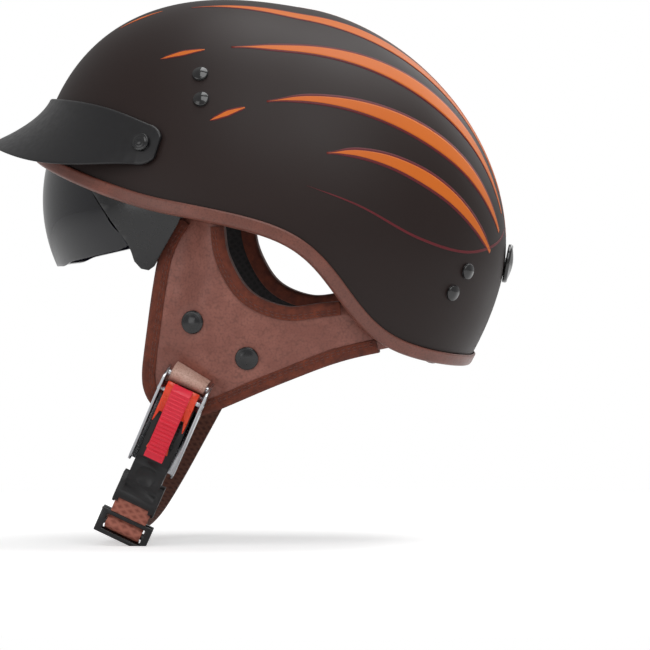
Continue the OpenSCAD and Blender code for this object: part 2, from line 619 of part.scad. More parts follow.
// ---------- buckle ----------
buckle_lean = 14.6;               // forward of upright
buckle_tilt = 17;                 // towards the chin
buckle_top = [cover_x(-21, -90) + 3.5, -22.5, -91];
module at_buckle() {
    translate(buckle_top) rotate([-buckle_lean, 0, 0]) rotate([0, buckle_tilt, 0]) children();
}
wall_h = 10;
bar_r = 2;
lever_at = [9.5, -8];             // x and z of the lever's pin
module across(x, z, r, w) translate([x, w / 2, z]) rotate([90, 0, 0]) cylinder(r = r, h = w, $fn = 32);
module buckle_frame() {
    side = [[0, 3.5], [7, 3.5], [13, 0], [13.5, -14], [9, -40], [9, -54], [6, -buckle_l + 2], [0, -buckle_l + 2]];
    color("#b9bcc0") at_buckle() difference() {
        union() {
            translate([0, -buckle_w / 2, -buckle_l + 2]) cube([buckle_sheet, buckle_w, buckle_l - 8]);
            for (s = [0, 1]) mirror([0, s, 0]) translate([0, buckle_w / 2, 0]) rotate([90, 0, 0])
                linear_extrude(buckle_sheet) polygon(side);
            across(3, 0, bar_r, buckle_w - 1);
        }
        across(lever_at[0], lever_at[1], lever_pin_r + 0.02, buckle_w + 4);
        translate([-1, -6, -50]) cube([4, 12, 24]);
    }
}
module lever_pin() {
    color("#8e9094") at_buckle() across(lever_at[0], lever_at[1], lever_pin_r, buckle_w + 1);
}
module lever_spring() {
    wire = 0.45;
    coil = lever_pin_r + run * 3 + wire;
    color("#9a9ca0") at_buckle() {
        for (i = [-2:2]) translate([lever_at[0], i * 2 * wire, lever_at[1]]) rotate([90, 0, 0])
            rotate_extrude($fn = 32) translate([coil, 0]) circle(r = wire + 0.02, $fn = 16);
        translate([lever_at[0] - coil, -4 * wire, lever_at[1]]) rotate([0, 180, 0])
            cylinder(r = wire, h = 8, $fn = 16);
    }
}
module release_lever() {
    body = [[8.2, -3.5], [9.5, -2.4], [12.5, -0.9], [14.6, -4], [13.2, -24], [12.2, -lever_l + 4], [9.8, -lever_l + 3.5],
            [9.6, -36], [8.2, -33], [7.65, -33], [7.65, -27], [8.6, -25.5], [8.2, -14], [6.9, -9.5], [6.9, -5]];
    color("#ff5a2e") at_buckle() difference() {
        translate([0, lever_w / 2, 0]) rotate([90, 0, 0]) linear_extrude(lever_w) polygon(body);
        across(lever_at[0], lever_at[1], lever_pin_r + run, lever_w + 4);
        translate([4, -3.6, -14]) cube([lever_at[0] - 4 + 3.4, 7.2, 16]);
        for (s = [0, 1]) mirror([0, s, 0]) {
            translate([4, lever_w / 2 - 1.6, -31]) cube([14, 4, 4]);
            translate([4, lever_w / 2 + 0.3, -60]) rotate([12, 0, 0]) cube([14, 6, 40]);
        }
    }
}
grip_w = 11.5;
rib_pitch = 2.5;
module grip_line() polygon([[13.1, -0.8], [14.3, -0.9], [15.9, -4], [14.5, -24], [13.6, -lever_l - 1],
                            [10.2, -lever_l - 1], [10.2, -lever_l + 3], [12.7, -lever_l + 3.2],
                            [13.55, -24], [15, -4]]);
module lever_grip() {
    color("#e0202a") at_buckle() {
        translate([0, grip_w / 2, 0]) rotate([90, 0, 0]) linear_extrude(grip_w) grip_line();
        for (i = [0:16]) let (z = -4.5 - i * rib_pitch)
            translate([i < 8 ? 15.5 - 0.07 * i * rib_pitch : 14.6 - 0.035 * (i - 8) * rib_pitch, 0, z])
            rotate([90, 0, 0]) cylinder(r = 0.7, h = grip_w - 1, center = true, $fn = 16);
    }
}
tongue_from = -16;                // ends of the tongue along the buckle
tongue_to = -86;
loop_bar = [3.4, -79.5];          // x and z of the bar that the strap loops round
loop_bar_r = 1.4;
cheek_t = 1.6;
module ratchet_tongue() {
    teeth = floor(24 / tooth_pitch);
    half = strap_w / 2 + seat;
    body = [[2, tongue_from], [4.2, tongue_from], [5.6, tongue_from - 3], [5.6, -54], [8, -57],
            [8.2, -66], [6.8, -73], [8.2, -77], [8.2, -81], [6.9, -82.5], [6.9, -76], [2, -76]];
    color("#1b1b1c") at_buckle() difference() {
        union() {
            translate([0, tongue_w / 2, 0]) rotate([90, 0, 0]) linear_extrude(tongue_w) polygon(body);
            for (i = [0:teeth - 1]) translate([0, tongue_w / 2 - 3, tongue_from - 5 - i * tooth_pitch])
                rotate([90, 0, 0]) linear_extrude(tongue_w - 6)
                polygon([[5, 0], [7.2, -tooth_pitch * 0.55], [5, -tooth_pitch * 0.95]]);
            for (s = [0, 1]) mirror([0, s, 0]) translate([0, half + cheek_t, 0]) rotate([90, 0, 0])
                linear_extrude(cheek_t + seat + strap_w / 2 - tongue_w / 2 + 0.5)
                polygon([[2, -66], [8, -66], [7, -73], [8.2, -77], [8.2, -83], [6, tongue_to], [2, tongue_to]]);
            across(loop_bar[0], loop_bar[1], loop_bar_r, strap_w + 2);
        }
        translate([15.8, 0, -63]) sphere(r = 10, $fn = 48);
        for (s = [0, 1]) mirror([0, s, 0]) translate([-1, tongue_w / 2 - 0.5, -100])
            cube([7.8, half - tongue_w / 2 + 0.5, 24]);
    }
}
// ---------- straps ----------
// Flat strap along points p, with its width along w
function strap_rows(p, wa, wb, side) = [for (i = [0:len(p) - 1])
    let (d = unit(p[min(i + 1, len(p) - 1)] - p[max(i - 1, 0)]), f = i / (len(p) - 1),
         w = wa * (1 - f) + wb * f, a = unit(w - d * (d * w)),
         n = cross(d, a))
    [for (j = [-1, 0, 1]) p[i] + a * j * strap_w / 2 + n * side * strap_t / 2]];
module strap(p, wa, wb) sheet(strap_rows(p, wa, wb, 1), strap_rows(p, wa, wb, -1));

// From the webbing, out through the slit and round the frame's bar
module strap_left() {
    color("#c99a86") at_buckle() strap([[-11.7, 0, 15], [-11.6, 0, 10], [-11.2, 0, 6], [-9.7, 0, 3.5],
        [-7, 0, 2.9], [-4, 0, 3.4], [-1, 0, 3.7], [1.2, 0, 3.65], [3, 0, 3.35], [5.3, 0, 2.4], [6.3, 0, 0],
        [5.3, 0, -2.35], [3, 0, -3.35]],
        [0, 0.98, -0.2], [0, 1, 0.05]);
}
// A loop of strap from the slider round the tongue's bar
loop_r = loop_bar_r + strap_t / 2 + 0.25;
slider_top = tongue_to - 6.4;
module tongue_loop() {
    color("#9a5440") at_buckle() strap(concat([[loop_bar[0] + loop_r - 0.2, 0, slider_top + seat],
        [loop_bar[0] + loop_r, 0, loop_bar[1] - 4]],
        [for (a = [0:30:180]) [loop_bar[0] + loop_r * cos(a), 0, loop_bar[1] + loop_r * sin(a)]],
        [[loop_bar[0] - loop_r, 0, loop_bar[1] - 4], [loop_bar[0] - loop_r + 0.2, 0, slider_top + seat]]),
        [0, 1, 0], [0, 1, 0]);
}
slider_h = 16;
module strap_slider() {
    color("#151515") at_buckle() translate([loop_bar[0], 0, slider_top - slider_h]) difference() {
        translate([-2, -strap_w / 2 - 5, 0]) cube([4, strap_w + 10, slider_h]);
        for (z = [3, 9.4]) translate([-3, -strap_w / 2 - 1, z]) cube([6, strap_w + 2, 3.6]);
    }
}
// The chin strap leaves the right cover's slit and hangs under the chin to the slider
chin_start = [cover_x(-20, -87), cover_x(-24, -104), cover_x(-28, -116)];
chin_line = curve([[6.9 - cover_x(-19, -73), -18.5, -73], [6.9 - cover_x(-19.5, -81), -19.2, -81],
    [-90.3, -20, -84.6], [-91.6, -20.5, -86.9], [-94.5, -20.8, -87], [-97.5, -21.2, -87.9],
    [-chin_start[0] - 2, -21.7, -91.5], [-chin_start[1] - 2.8, -24, -104], [-chin_start[2] - 2.6, -28, -117], [-76, -34, -138],
    [-52, -40, -160], [-24, -45.5, -178], [6, -49.5, -186], [34, -51.5, -186], [54, -52, -180.5],
    [63.5, -51.5, -176.5]], 2);
module chin_strap() { color("#5a3027") strap(chin_line, [0, 0.906, -0.424], [0.02, 1, 0]); }

outer_shell();
edge_trim();
impact_liner();
crown_pad();
headband();
neck_roll();
front_rivets();
rear_rivets();
rear_button();
webbing_left();
webbing_right();
lens_bracket_left();
lens_bracket_right();
lens_screw_left();
lens_screw_right();
sun_lens();
lens_arm_left();
lens_arm_right();
peak();
peak_caps();
peak_studs();
ear_cover_left();
ear_cover_right();
ear_binding_left();
ear_binding_right();
ear_lining_left();
ear_lining_right();
cover_caps_left();
cover_caps_right();
strap_left();
buckle_frame();
lever_pin();
lever_spring();
release_lever();
lever_grip();
ratchet_tongue();
tongue_loop();
strap_slider();
chin_strap();
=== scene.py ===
"""Motorcycle half helmet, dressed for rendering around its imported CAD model.

Lengths inside the classes are millimetres; Mesher turns them to metres.
+Z is up, the wearer faces -Y and the wearer's left is +X.
"""
import logging
import math
from dataclasses import dataclass, field
from enum import Enum

import bpy
import numpy as np
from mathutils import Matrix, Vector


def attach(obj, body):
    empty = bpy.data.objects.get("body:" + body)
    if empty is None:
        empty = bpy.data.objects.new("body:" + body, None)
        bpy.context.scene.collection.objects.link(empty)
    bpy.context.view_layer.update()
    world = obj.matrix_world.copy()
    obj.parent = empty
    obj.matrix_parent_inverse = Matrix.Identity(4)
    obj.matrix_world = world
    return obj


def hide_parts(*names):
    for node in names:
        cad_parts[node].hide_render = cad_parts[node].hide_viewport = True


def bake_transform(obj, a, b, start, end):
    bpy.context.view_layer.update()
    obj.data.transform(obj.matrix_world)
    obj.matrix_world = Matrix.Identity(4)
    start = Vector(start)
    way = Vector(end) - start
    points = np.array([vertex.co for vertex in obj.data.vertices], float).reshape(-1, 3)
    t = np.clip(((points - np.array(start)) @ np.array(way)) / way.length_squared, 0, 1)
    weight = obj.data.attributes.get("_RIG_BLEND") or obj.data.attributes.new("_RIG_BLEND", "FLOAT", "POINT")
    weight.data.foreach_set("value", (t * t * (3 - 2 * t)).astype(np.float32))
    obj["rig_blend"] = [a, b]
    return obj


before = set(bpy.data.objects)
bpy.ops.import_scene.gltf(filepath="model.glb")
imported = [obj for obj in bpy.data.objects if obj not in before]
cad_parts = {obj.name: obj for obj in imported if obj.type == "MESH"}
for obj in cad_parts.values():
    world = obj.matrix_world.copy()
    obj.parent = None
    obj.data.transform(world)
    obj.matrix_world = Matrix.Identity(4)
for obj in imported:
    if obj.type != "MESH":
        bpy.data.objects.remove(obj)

log = logging.getLogger("half_helmet")
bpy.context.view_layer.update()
MM = 0.001


class Side(Enum):
    """The wearer's side on which a paired piece sits."""

    LEFT = 1.0
    RIGHT = -1.0

    @property
    def word(self) -> str:
        """The side's name as CAD nodes end in it."""
        return self.name.lower()


class Body(str, Enum):
    """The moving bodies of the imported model."""

    HELMET = "helmet"
    LENS = "lens"
    PEAK = "peak"
    LEVER = "lever"
    TONGUE = "tongue"


# ---------------------------------------------------------------- arrays
def unit(v: np.ndarray) -> np.ndarray:
    """Vectors of v scaled to length one."""
    return v / np.maximum(np.linalg.norm(v, axis=-1, keepdims=True), 1e-9)


def smooth(a: float, b: float, x: np.ndarray) -> np.ndarray:
    """Rises from 0 at a to 1 at b as 3u^2 - 2u^3."""
    u = np.clip((np.asarray(x, float) - a) / (b - a), 0, 1)
    return u * u * (3 - 2 * u)


def catmull(points: np.ndarray, count: int) -> np.ndarray:
    """Smooth curve through points.

    Each stretch is the cubic 0.5 (2b + (c-a)u + (2a-5b+4c-d)u^2 + (3b-a-3c+d)u^3).

    Args:
        points: Control points, one a row.
        count: Number of points returned, evenly spread over the stretches.

    Returns:
        Array of count rows.
    """
    p = np.asarray(points, float)
    s = np.linspace(0, len(p) - 1, count)
    i = np.minimum(s.astype(int), len(p) - 2)
    u = (s - i)[:, None]
    a, b = p[np.maximum(i - 1, 0)], p[i]
    c, d = p[i + 1], p[np.minimum(i + 2, len(p) - 1)]
    return 0.5 * (2 * b + (c - a) * u + (2 * a - 5 * b + 4 * c - d) * u**2
                  + (3 * b - a - 3 * c + d) * u**3)


def even(points: np.ndarray, count: int) -> np.ndarray:
    """Points of a polyline spread evenly by length."""
    p = np.asarray(points, float)
    s = np.concatenate([[0], np.cumsum(np.linalg.norm(np.diff(p, axis=0), axis=1))])
    t = np.linspace(0, s[-1], count)
    return np.stack([np.interp(t, s, p[:, k]) for k in range(p.shape[1])], axis=1)


def along(points: np.ndarray, closed: bool = False) -> np.ndarray:
    """Unit tangents of a row of points: next point less the one before."""
    p = np.asarray(points, float)
    if closed:
        return unit(np.roll(p, -1, axis=0) - np.roll(p, 1, axis=0))
    return unit(np.gradient(p, axis=0))


def ripple(p: np.ndarray, seed: int, size: float, waves: int = 9) -> np.ndarray:
    """Soft noise in [-1, 1]: the mean of sines of random directions and phases.

    Args:
        p: Points, shape (..., 3).
        seed: Seed of the random directions.
        size: Wave length in millimetres.
        waves: Number of sines.

    Returns:
        Array of the shape of p without its last axis.
    """
    rng = np.random.default_rng(seed)
    k = unit(rng.normal(size=(waves, 3))) * (2 * np.pi / size) * rng.uniform(0.7, 1.4, (waves, 1))
    return np.sin(p @ k.T + rng.uniform(0, 6.28, waves)).mean(axis=-1) * 1.6


# ---------------------------------------------------------------- meshes
class Mesher:
    """Turns arrays of points in millimetres into objects."""

    @staticmethod
    def build(name: str, points: np.ndarray, faces: list[np.ndarray],
              uv: np.ndarray | None = None) -> bpy.types.Object:
        """Makes an object at the origin, unturned, from arrays.

        Args:
            name: Name of the object.
            points: Vertices in millimetres, shape (n, 3).
            faces: Arrays of vertex numbers, one of quads and one of triangles.
            uv: Texture place of each vertex in millimetres, or None.

        Returns:
            The new object, shaded smooth.
        """
        mesh = bpy.data.meshes.new(name)
        loops = np.concatenate([f.ravel() for f in faces if len(f)]).astype(np.int32)
        sizes = np.concatenate([np.full(len(f), f.shape[1]) for f in faces if len(f)]).astype(np.int32)
        mesh.vertices.add(len(points))
        mesh.vertices.foreach_set("co", (np.asarray(points, np.float32) * MM).ravel())
        mesh.loops.add(len(loops))
        mesh.loops.foreach_set("vertex_index", loops)
        mesh.polygons.add(len(sizes))
        mesh.polygons.foreach_set("loop_start", (np.cumsum(sizes) - sizes).astype(np.int32))
        mesh.polygons.foreach_set("loop_total", sizes)
        mesh.polygons.foreach_set("use_smooth", np.ones(len(sizes), bool))
        if uv is not None:
            layer = mesh.uv_layers.new(name="UVMap")
            layer.data.foreach_set("uv", (np.asarray(uv, np.float32)[loops] * MM).ravel())
        mesh.update(calc_edges=True)
        mesh.validate()
        obj = bpy.data.objects.new(name, mesh)
        bpy.context.scene.collection.objects.link(obj)
        return obj

    @staticmethod
    def quads(rows: int, cols: int, wrap_rows: bool, wrap_cols: bool, start: int = 0) -> np.ndarray:
        """Quads of a grid of vertices numbered row by row."""
        i = np.arange(rows if wrap_rows else rows - 1)[:, None]
        j = np.arange(cols if wrap_cols else cols - 1)[None, :]
        i2, j2 = (i + 1) % rows, (j + 1) % cols
        q = np.stack(np.broadcast_arrays(i * cols + j, i * cols + j2, i2 * cols + j2, i2 * cols + j), -1)
        return q.reshape(-1, 4) + start

    @classmethod
    def grid(cls, name: str, p: np.ndarray, uv: np.ndarray | None = None, *, wrap_rows: bool = False,
             wrap_cols: bool = False, tips: bool = False, flip: bool = False) -> bpy.types.Object:
        """Object whose surface is a grid of points.

        Args:
            name: Name of the object.
            p: Points, shape (rows, columns, 3).
            uv: Texture places, shape (rows, columns, 2).
            wrap_rows: Whether the last row meets the first.
            wrap_cols: Whether the last column meets the first.
            tips: Whether a vertex at the middle of the first and last rows closes them.
            flip: Whether the faces turn the other way.

        Returns:
            The new object.
        """
        rows, cols = p.shape[:2]
        quads = cls.quads(rows, cols, wrap_rows, wrap_cols)
        points, tris = p.reshape(-1, 3), np.zeros((0, 3), int)
        flat_uv = None if uv is None else uv.reshape(-1, 2)
        if tips:
            n, j = rows * cols, np.arange(cols)
            k = (j + 1) % cols
            last = n - cols
            tris = np.concatenate([np.stack([np.full(cols, n), k, j], -1),
                                   np.stack([np.full(cols, n + 1), last + j, last + k], -1)])
            points = np.vstack([points, p[0].mean(0), p[-1].mean(0)])
            if flat_uv is not None:
                flat_uv = np.vstack([flat_uv, uv[0].mean(0), uv[-1].mean(0)])
        if flip:
            quads, tris = quads[:, ::-1], tris[:, ::-1]
        return cls.build(name, points, [quads, tris], flat_uv)

    @classmethod
    def slab(cls, name: str, outer: np.ndarray, inner: np.ndarray, uv: np.ndarray,
             flip: bool = False) -> bpy.types.Object:
        """Closed wall between two grids of the same size, joined along their four edges.

        Args:
            name: Name of the object.
            outer: Points of the outer face, shape (rows, columns, 3).
            inner: Points of the inner face, same shape.
            uv: Texture places, shape (rows, columns, 2), used on both faces.
            flip: Whether the faces turn the other way.

        Returns:
            The new object.
        """
        r, c = outer.shape[:2]
        n = r * c
        front = cls.quads(r, c, False, False)
        back = cls.quads(r, c, False, False, n)[:, ::-1]
        ring = np.concatenate([np.arange(c), np.arange(1, r) * c + c - 1,
                               n - 2 - np.arange(c - 1), (np.arange(r - 2)[::-1] + 1) * c])
        nxt = np.roll(ring, -1)
        edge = np.stack([ring, ring + n, nxt + n, nxt], -1)
        faces = np.concatenate([front, back, edge])
        if flip:
            faces = faces[:, ::-1]
        return cls.build(name, np.vstack([outer.reshape(-1, 3), inner.reshape(-1, 3)]), [faces],
                         np.vstack([uv.reshape(-1, 2)] * 2))

    @classmethod
    def swept(cls, name: str, ring: np.ndarray, uv: np.ndarray | None = None, *, closed_path: bool,
              flip: bool = False) -> bpy.types.Object:
        """Object of a closed section carried along a path: ring has shape (path, section, 3)."""
        return cls.grid(name, ring, uv, wrap_rows=closed_path, wrap_cols=True,
                        tips=not closed_path, flip=flip)

    @staticmethod
    def outward(obj: bpy.types.Object) -> bpy.types.Object:
        """Turns all faces of a closed mesh outwards."""
        import bmesh
        b = bmesh.new()
        b.from_mesh(obj.data)
        bmesh.ops.remove_doubles(b, verts=b.verts, dist=1e-6)
        bmesh.ops.recalc_face_normals(b, faces=b.faces)
        b.to_mesh(obj.data)
        b.free()
        return obj

    @staticmethod
    def modified(obj: bpy.types.Object, kind: str, **settings: object) -> bpy.types.Object:
        """Adds a modifier and applies it to the mesh."""
        mod = obj.modifiers.new(kind.title(), kind)
        for key, value in settings.items():
            setattr(mod, key, value)
        deps = bpy.context.evaluated_depsgraph_get()
        mesh = bpy.data.meshes.new_from_object(obj.evaluated_get(deps))
        mesh.name = obj.name
        obj.modifiers.clear()
        obj.data = mesh
        return obj

    @staticmethod
    def rounded(obj: bpy.types.Object, levels: int = 1) -> bpy.types.Object:
        """Adds a live subdivision with the same levels in view and render."""
        mod = obj.modifiers.new("Rounding", "SUBSURF")
        mod.levels = mod.render_levels = levels
        return obj

    @staticmethod
    def mirrored(p: np.ndarray, side: Side) -> np.ndarray:
        """Points with their X turned to the given side."""
        return p * np.array([side.value, 1.0, 1.0])


def section_lens(width: float, thick: float, count: int = 12, square: float = 4.0) -> np.ndarray:
    """Closed flat oval |x/w|^s + |y/t|^s = 1 as (width, thickness) pairs, for straps and cords."""
    a = np.linspace(0, 2 * np.pi, count, endpoint=False) + np.pi / count
    c, s = np.cos(a), np.sin(a)
    k = (np.abs(c) ** square + np.abs(s) ** square) ** (-1 / square)
    return np.stack([c * k * width / 2, s * k * thick / 2], -1)


def bar_along(name: str, path: np.ndarray, wide: np.ndarray, section: np.ndarray,
              closed: bool = False) -> bpy.types.Object:
    """Carries a section along a path.

    Each ring is path + w * a + t * n, with a the width direction squared up to the path
    and n = tangent x a.

    Args:
        name: Name of the object.
        path: Points of the path, shape (n, 3).
        wide: Width direction at each point, shape (n, 3) or (3,).
        section: Pairs of (width, thickness) offsets.
        closed: Whether the path meets its own start.

    Returns:
        The new object, with U along its length and V across its width.
    """
    t = along(path, closed)
    w = np.broadcast_to(wide, path.shape)
    a = unit(w - t * (w * t).sum(-1, keepdims=True))
    n = np.cross(t, a)
    ring = path[:, None] + a[:, None] * section[None, :, :1] + n[:, None] * section[None, :, 1:]
    s = np.concatenate([[0], np.cumsum(np.linalg.norm(np.diff(path, axis=0), axis=1))])
    uv = np.stack(np.broadcast_arrays(s[:, None], section[None, :, 0]), -1)
    return Mesher.outward(Mesher.swept(name, ring, uv, closed_path=closed))


# ---------------------------------------------------------------- finishes
def linear(code: str) -> tuple[float, float, float, float]:
    """Linear RGBA of an sRGB hex colour such as '#2b2120'."""
    v = np.array([int(code[i:i + 2], 16) for i in (1, 3, 5)]) / 255
    v = np.where(v <= 0.04045, v / 12.92, ((v + 0.055) / 1.055) ** 2.4)
    return (float(v[0]), float(v[1]), float(v[2]), 1.0)


def add_node(tree: bpy.types.NodeTree, kind: str, settings: dict[str, object] | None = None,
             links: dict[str | int, bpy.types.NodeSocket] | None = None) -> bpy.types.Node:
    """Adds a node.

    Args:
        tree: Node tree that gets it.
        kind: The node's type name.
        settings: Properties by name, and input values by the input's name or number.
        links: Output sockets by the name or number of the input that they feed.

    Returns:
        The new node.
    """
    n = tree.nodes.new(kind)
    for key, value in (settings or {}).items():
        if isinstance(key, str) and hasattr(n, key):
            setattr(n, key, value)
        else:
            n.inputs[key].default_value = value
    for key, socket in (links or {}).items():
        tree.links.new(socket, n.inputs[key])
    return n


@dataclass(frozen=True)
class Finish:
    """A finish: its plain look and the names of its record slot."""

    name: str
    slot: str
    colour: str
    roughness: float = 0.5
    metallic: float = 0.0
    ior: float = 1.5
    coat: float = 0.0
    coat_rough: float = 0.1
    sheen: float = 0.0
    specular: float = 0.5

    def start(self) -> tuple[bpy.types.Material, bpy.types.NodeTree, bpy.types.Node]:
        """Makes the material with its shader's own sockets set."""
        mat = bpy.data.materials.new(self.name)
        mat.use_nodes = True
        tree = mat.node_tree
        shader = tree.nodes["Principled BSDF"]
        shader.inputs["Base Color"].default_value = linear(self.colour)
        shader.inputs["Roughness"].default_value = self.roughness
        shader.inputs["Metallic"].default_value = self.metallic
        if not self.metallic:
            shader.inputs["IOR"].default_value = self.ior
        shader.inputs["Coat Weight"].default_value = self.coat
        shader.inputs["Coat Roughness"].default_value = self.coat_rough
        shader.inputs["Sheen Weight"].default_value = self.sheen
        shader.inputs["Specular IOR Level"].default_value = self.specular
        return mat, tree, shader

    def place(self, tree: bpy.types.NodeTree) -> bpy.types.NodeSocket:
        """Object coordinates, in metres."""
        return add_node(tree, "ShaderNodeTexCoord").outputs["Object"]

    def mixed(self, tree: bpy.types.NodeTree, factor: bpy.types.NodeSocket, a: str, b: str) -> bpy.types.NodeSocket:
        """Colour that goes from a to b with the factor."""
        mix = add_node(tree, "ShaderNodeMix", {"data_type": "RGBA"}, {0: factor})
        mix.inputs[6].default_value, mix.inputs[7].default_value = linear(a), linear(b)
        return mix.outputs[2]

    def ramp(self, tree: bpy.types.NodeTree, value: bpy.types.NodeSocket, low: float, high: float,
             to_low: float = 0.0, to_high: float = 1.0) -> bpy.types.NodeSocket:
        """Maps a value from low..high to to_low..to_high, held at the ends."""
        return add_node(tree, "ShaderNodeMapRange",
                        {"From Min": low, "From Max": high, "To Min": to_low, "To Max": to_high},
                        {"Value": value}).outputs["Result"]

    def bump(self, tree: bpy.types.NodeTree, shader: bpy.types.Node, height: bpy.types.NodeSocket,
             deep_mm: float, strength: float = 1.0) -> None:
        """Feeds a height to the shader's normal, deep_mm millimetres from 0 to 1."""
        b = add_node(tree, "ShaderNodeBump", {"Strength": strength, "Distance": deep_mm * MM}, {"Height": height})
        tree.links.new(b.outputs["Normal"], shader.inputs["Normal"])

    def make(self) -> bpy.types.Material:
        """The plain finish with a faint unevenness of gloss and surface."""
        mat, tree, shader = self.start()
        noise = add_node(tree, "ShaderNodeTexNoise", {"Scale": 260.0, "Detail": 3.0}, {"Vector": self.place(tree)})
        rough = self.ramp(tree, noise.outputs[0], 0.3, 0.7, max(0.02, self.roughness - 0.05), self.roughness + 0.06)
        tree.links.new(rough, shader.inputs["Roughness"])
        self.bump(tree, shader, noise.outputs[0], 0.02)
        return mat


@dataclass(frozen=True)
class SatinPaint(Finish):
    """Sprayed urethane paint on moulded ABS: a dull sheen with a fine orange peel."""

    peel_mm: float = 1.6
    edge: str = "#241b19"

    def make(self) -> bpy.types.Material:
        """Two close tones in wide soft clouds, with the peel as bump."""
        mat, tree, shader = self.start()
        place = self.place(tree)
        cloud = add_node(tree, "ShaderNodeTexNoise", {"Scale": 14.0, "Detail": 2.0}, {"Vector": place})
        tree.links.new(self.mixed(tree, cloud.outputs[0], self.edge, self.colour), shader.inputs["Base Color"])
        peel = add_node(tree, "ShaderNodeTexNoise", {"Scale": 1000 / self.peel_mm, "Detail": 1.0}, {"Vector": place})
        rough = self.ramp(tree, cloud.outputs[0], 0.3, 0.7, self.roughness - 0.03, self.roughness + 0.04)
        tree.links.new(rough, shader.inputs["Roughness"])
        self.bump(tree, shader, peel.outputs[0], 0.018)
        return mat


@dataclass(frozen=True)
class Leather(Finish):
    """Vinyl-faced leather, embossed: pebbles about 1.2 mm wide, the creases between them darkened as painted shade.
    """

    pebble_mm: float = 1.2
    # Colour of the painted shade in the creases between pebbles.
    crease: str = "#5f3428"
    worn: str = "#a5675a"
    deep_mm: float = 0.12

    def make(self) -> bpy.types.Material:
        """Pebbles from a smooth Voronoi with painted shade in the creases between them, a cloud of wear, and long
        faint creases.
        """
        mat, tree, shader = self.start()
        place = self.place(tree)
        pebble = add_node(tree, "ShaderNodeTexVoronoi",
                          {"feature": "SMOOTH_F1", "Scale": 1000 / self.pebble_mm, "Smoothness": 0.35}, {"Vector": place})
        cloud = add_node(tree, "ShaderNodeTexNoise", {"Scale": 38.0, "Detail": 4.0, "Roughness": 0.62}, {"Vector": place})
        crease = add_node(tree, "ShaderNodeTexNoise", {"Scale": 95.0, "Detail": 5.0, "Distortion": 0.9}, {"Vector": place})
        worn = self.mixed(tree, self.ramp(tree, cloud.outputs[0], 0.42, 0.68), self.colour, self.worn)
        # Painted shade: the crease colour darkens the grooves between pebbles, where the bump sinks.
        groove_shade = self.ramp(tree, pebble.outputs["Distance"], 0.45, 0.9, 0.0, 0.55)
        mix = add_node(tree, "ShaderNodeMix", {"data_type": "RGBA"}, {0: groove_shade, 6: worn})
        mix.inputs[7].default_value = linear(self.crease)
        tree.links.new(mix.outputs[2], shader.inputs["Base Color"])
        rough = self.ramp(tree, cloud.outputs[0], 0.35, 0.7, self.roughness + 0.05, self.roughness - 0.05)
        tree.links.new(rough, shader.inputs["Roughness"])
        height = add_node(tree, "ShaderNodeMath", {"operation": "MULTIPLY_ADD", 1: -0.5},
                          {0: pebble.outputs["Distance"], 2: self.ramp(tree, crease.outputs[0], 0.35, 0.65)})
        self.bump(tree, shader, height.outputs[0], self.deep_mm)
        return mat


@dataclass(frozen=True)
class Suede(Finish):
    """Split leather with its nap up: matt, mottled, soft at grazing light."""

    nap: str = "#a4502e"

    def make(self) -> bpy.types.Material:
        """Mottled nap from two noises, the finer one as bump."""
        mat, tree, shader = self.start()
        place = self.place(tree)
        blotch = add_node(tree, "ShaderNodeTexNoise", {"Scale": 190.0, "Detail": 5.0, "Roughness": 0.7}, {"Vector": place})
        fibre = add_node(tree, "ShaderNodeTexNoise", {"Scale": 1500.0, "Detail": 2.0}, {"Vector": place})
        tone = self.ramp(tree, blotch.outputs[0], 0.35, 0.68)
        tree.links.new(self.mixed(tree, tone, self.colour, self.nap), shader.inputs["Base Color"])
        self.bump(tree, shader, fibre.outputs[0], 0.22)
        return mat


@dataclass(frozen=True)
class Weave(Finish):
    """Woven nylon: diagonal ribs of flat yarn, drawn 1.6 mm wide so that they show, with a painted sheen on their
    crests.
    """

    yarn_mm: float = 1.6
    # Colour of the painted sheen on the rib crests.
    light: str = "#2c2a2a"
    turn: float = 0.6

    def make(self) -> bpy.types.Material:
        """Two crossing wave bands on the strap's own UV, in metres, the crests lighter as painted sheen."""
        mat, tree, shader = self.start()
        uv = add_node(tree, "ShaderNodeTexCoord").outputs["UV"]
        waves = []
        for sign in (1.0, -1.0):
            turned = add_node(tree, "ShaderNodeMapping", {"Rotation": (0.0, 0.0, sign * self.turn)}, {"Vector": uv})
            waves.append(add_node(tree, "ShaderNodeTexWave",
                                  {"wave_profile": "SIN", "Scale": 1000 / self.yarn_mm / 20 * 3.14, "Distortion": 0.4,
                                   "Detail": 1.0}, {"Vector": turned.outputs[0]}))
        rib = add_node(tree, "ShaderNodeMath", {"operation": "MAXIMUM"},
                       {0: waves[0].outputs[1], 1: waves[1].outputs[1]})
        # Painted sheen: the rib crests, high in the bump, take the lighter colour.
        tree.links.new(self.mixed(tree, rib.outputs[0], self.colour, self.light), shader.inputs["Base Color"])
        self.bump(tree, shader, rib.outputs[0], 0.18)
        return mat


@dataclass(frozen=True)
class Brushed(Finish):
    """Plated steel, bright with faint rubbed streaks."""

    def make(self) -> bpy.types.Material:
        """Streaks 0.4 mm wide, drawn out along the length, in the roughness and bump."""
        mat, tree, shader = self.start()
        turned = add_node(tree, "ShaderNodeMapping", {"Scale": (2500.0, 2500.0, 140.0)}, {"Vector": self.place(tree)})
        streak = add_node(tree, "ShaderNodeTexNoise", {"Scale": 1.0, "Detail": 2.0}, {"Vector": turned.outputs[0]})
        rough = self.ramp(tree, streak.outputs[0], 0.3, 0.7, self.roughness - 0.06, self.roughness + 0.1)
        tree.links.new(rough, shader.inputs["Roughness"])
        self.bump(tree, shader, streak.outputs[0], 0.01)
        return mat


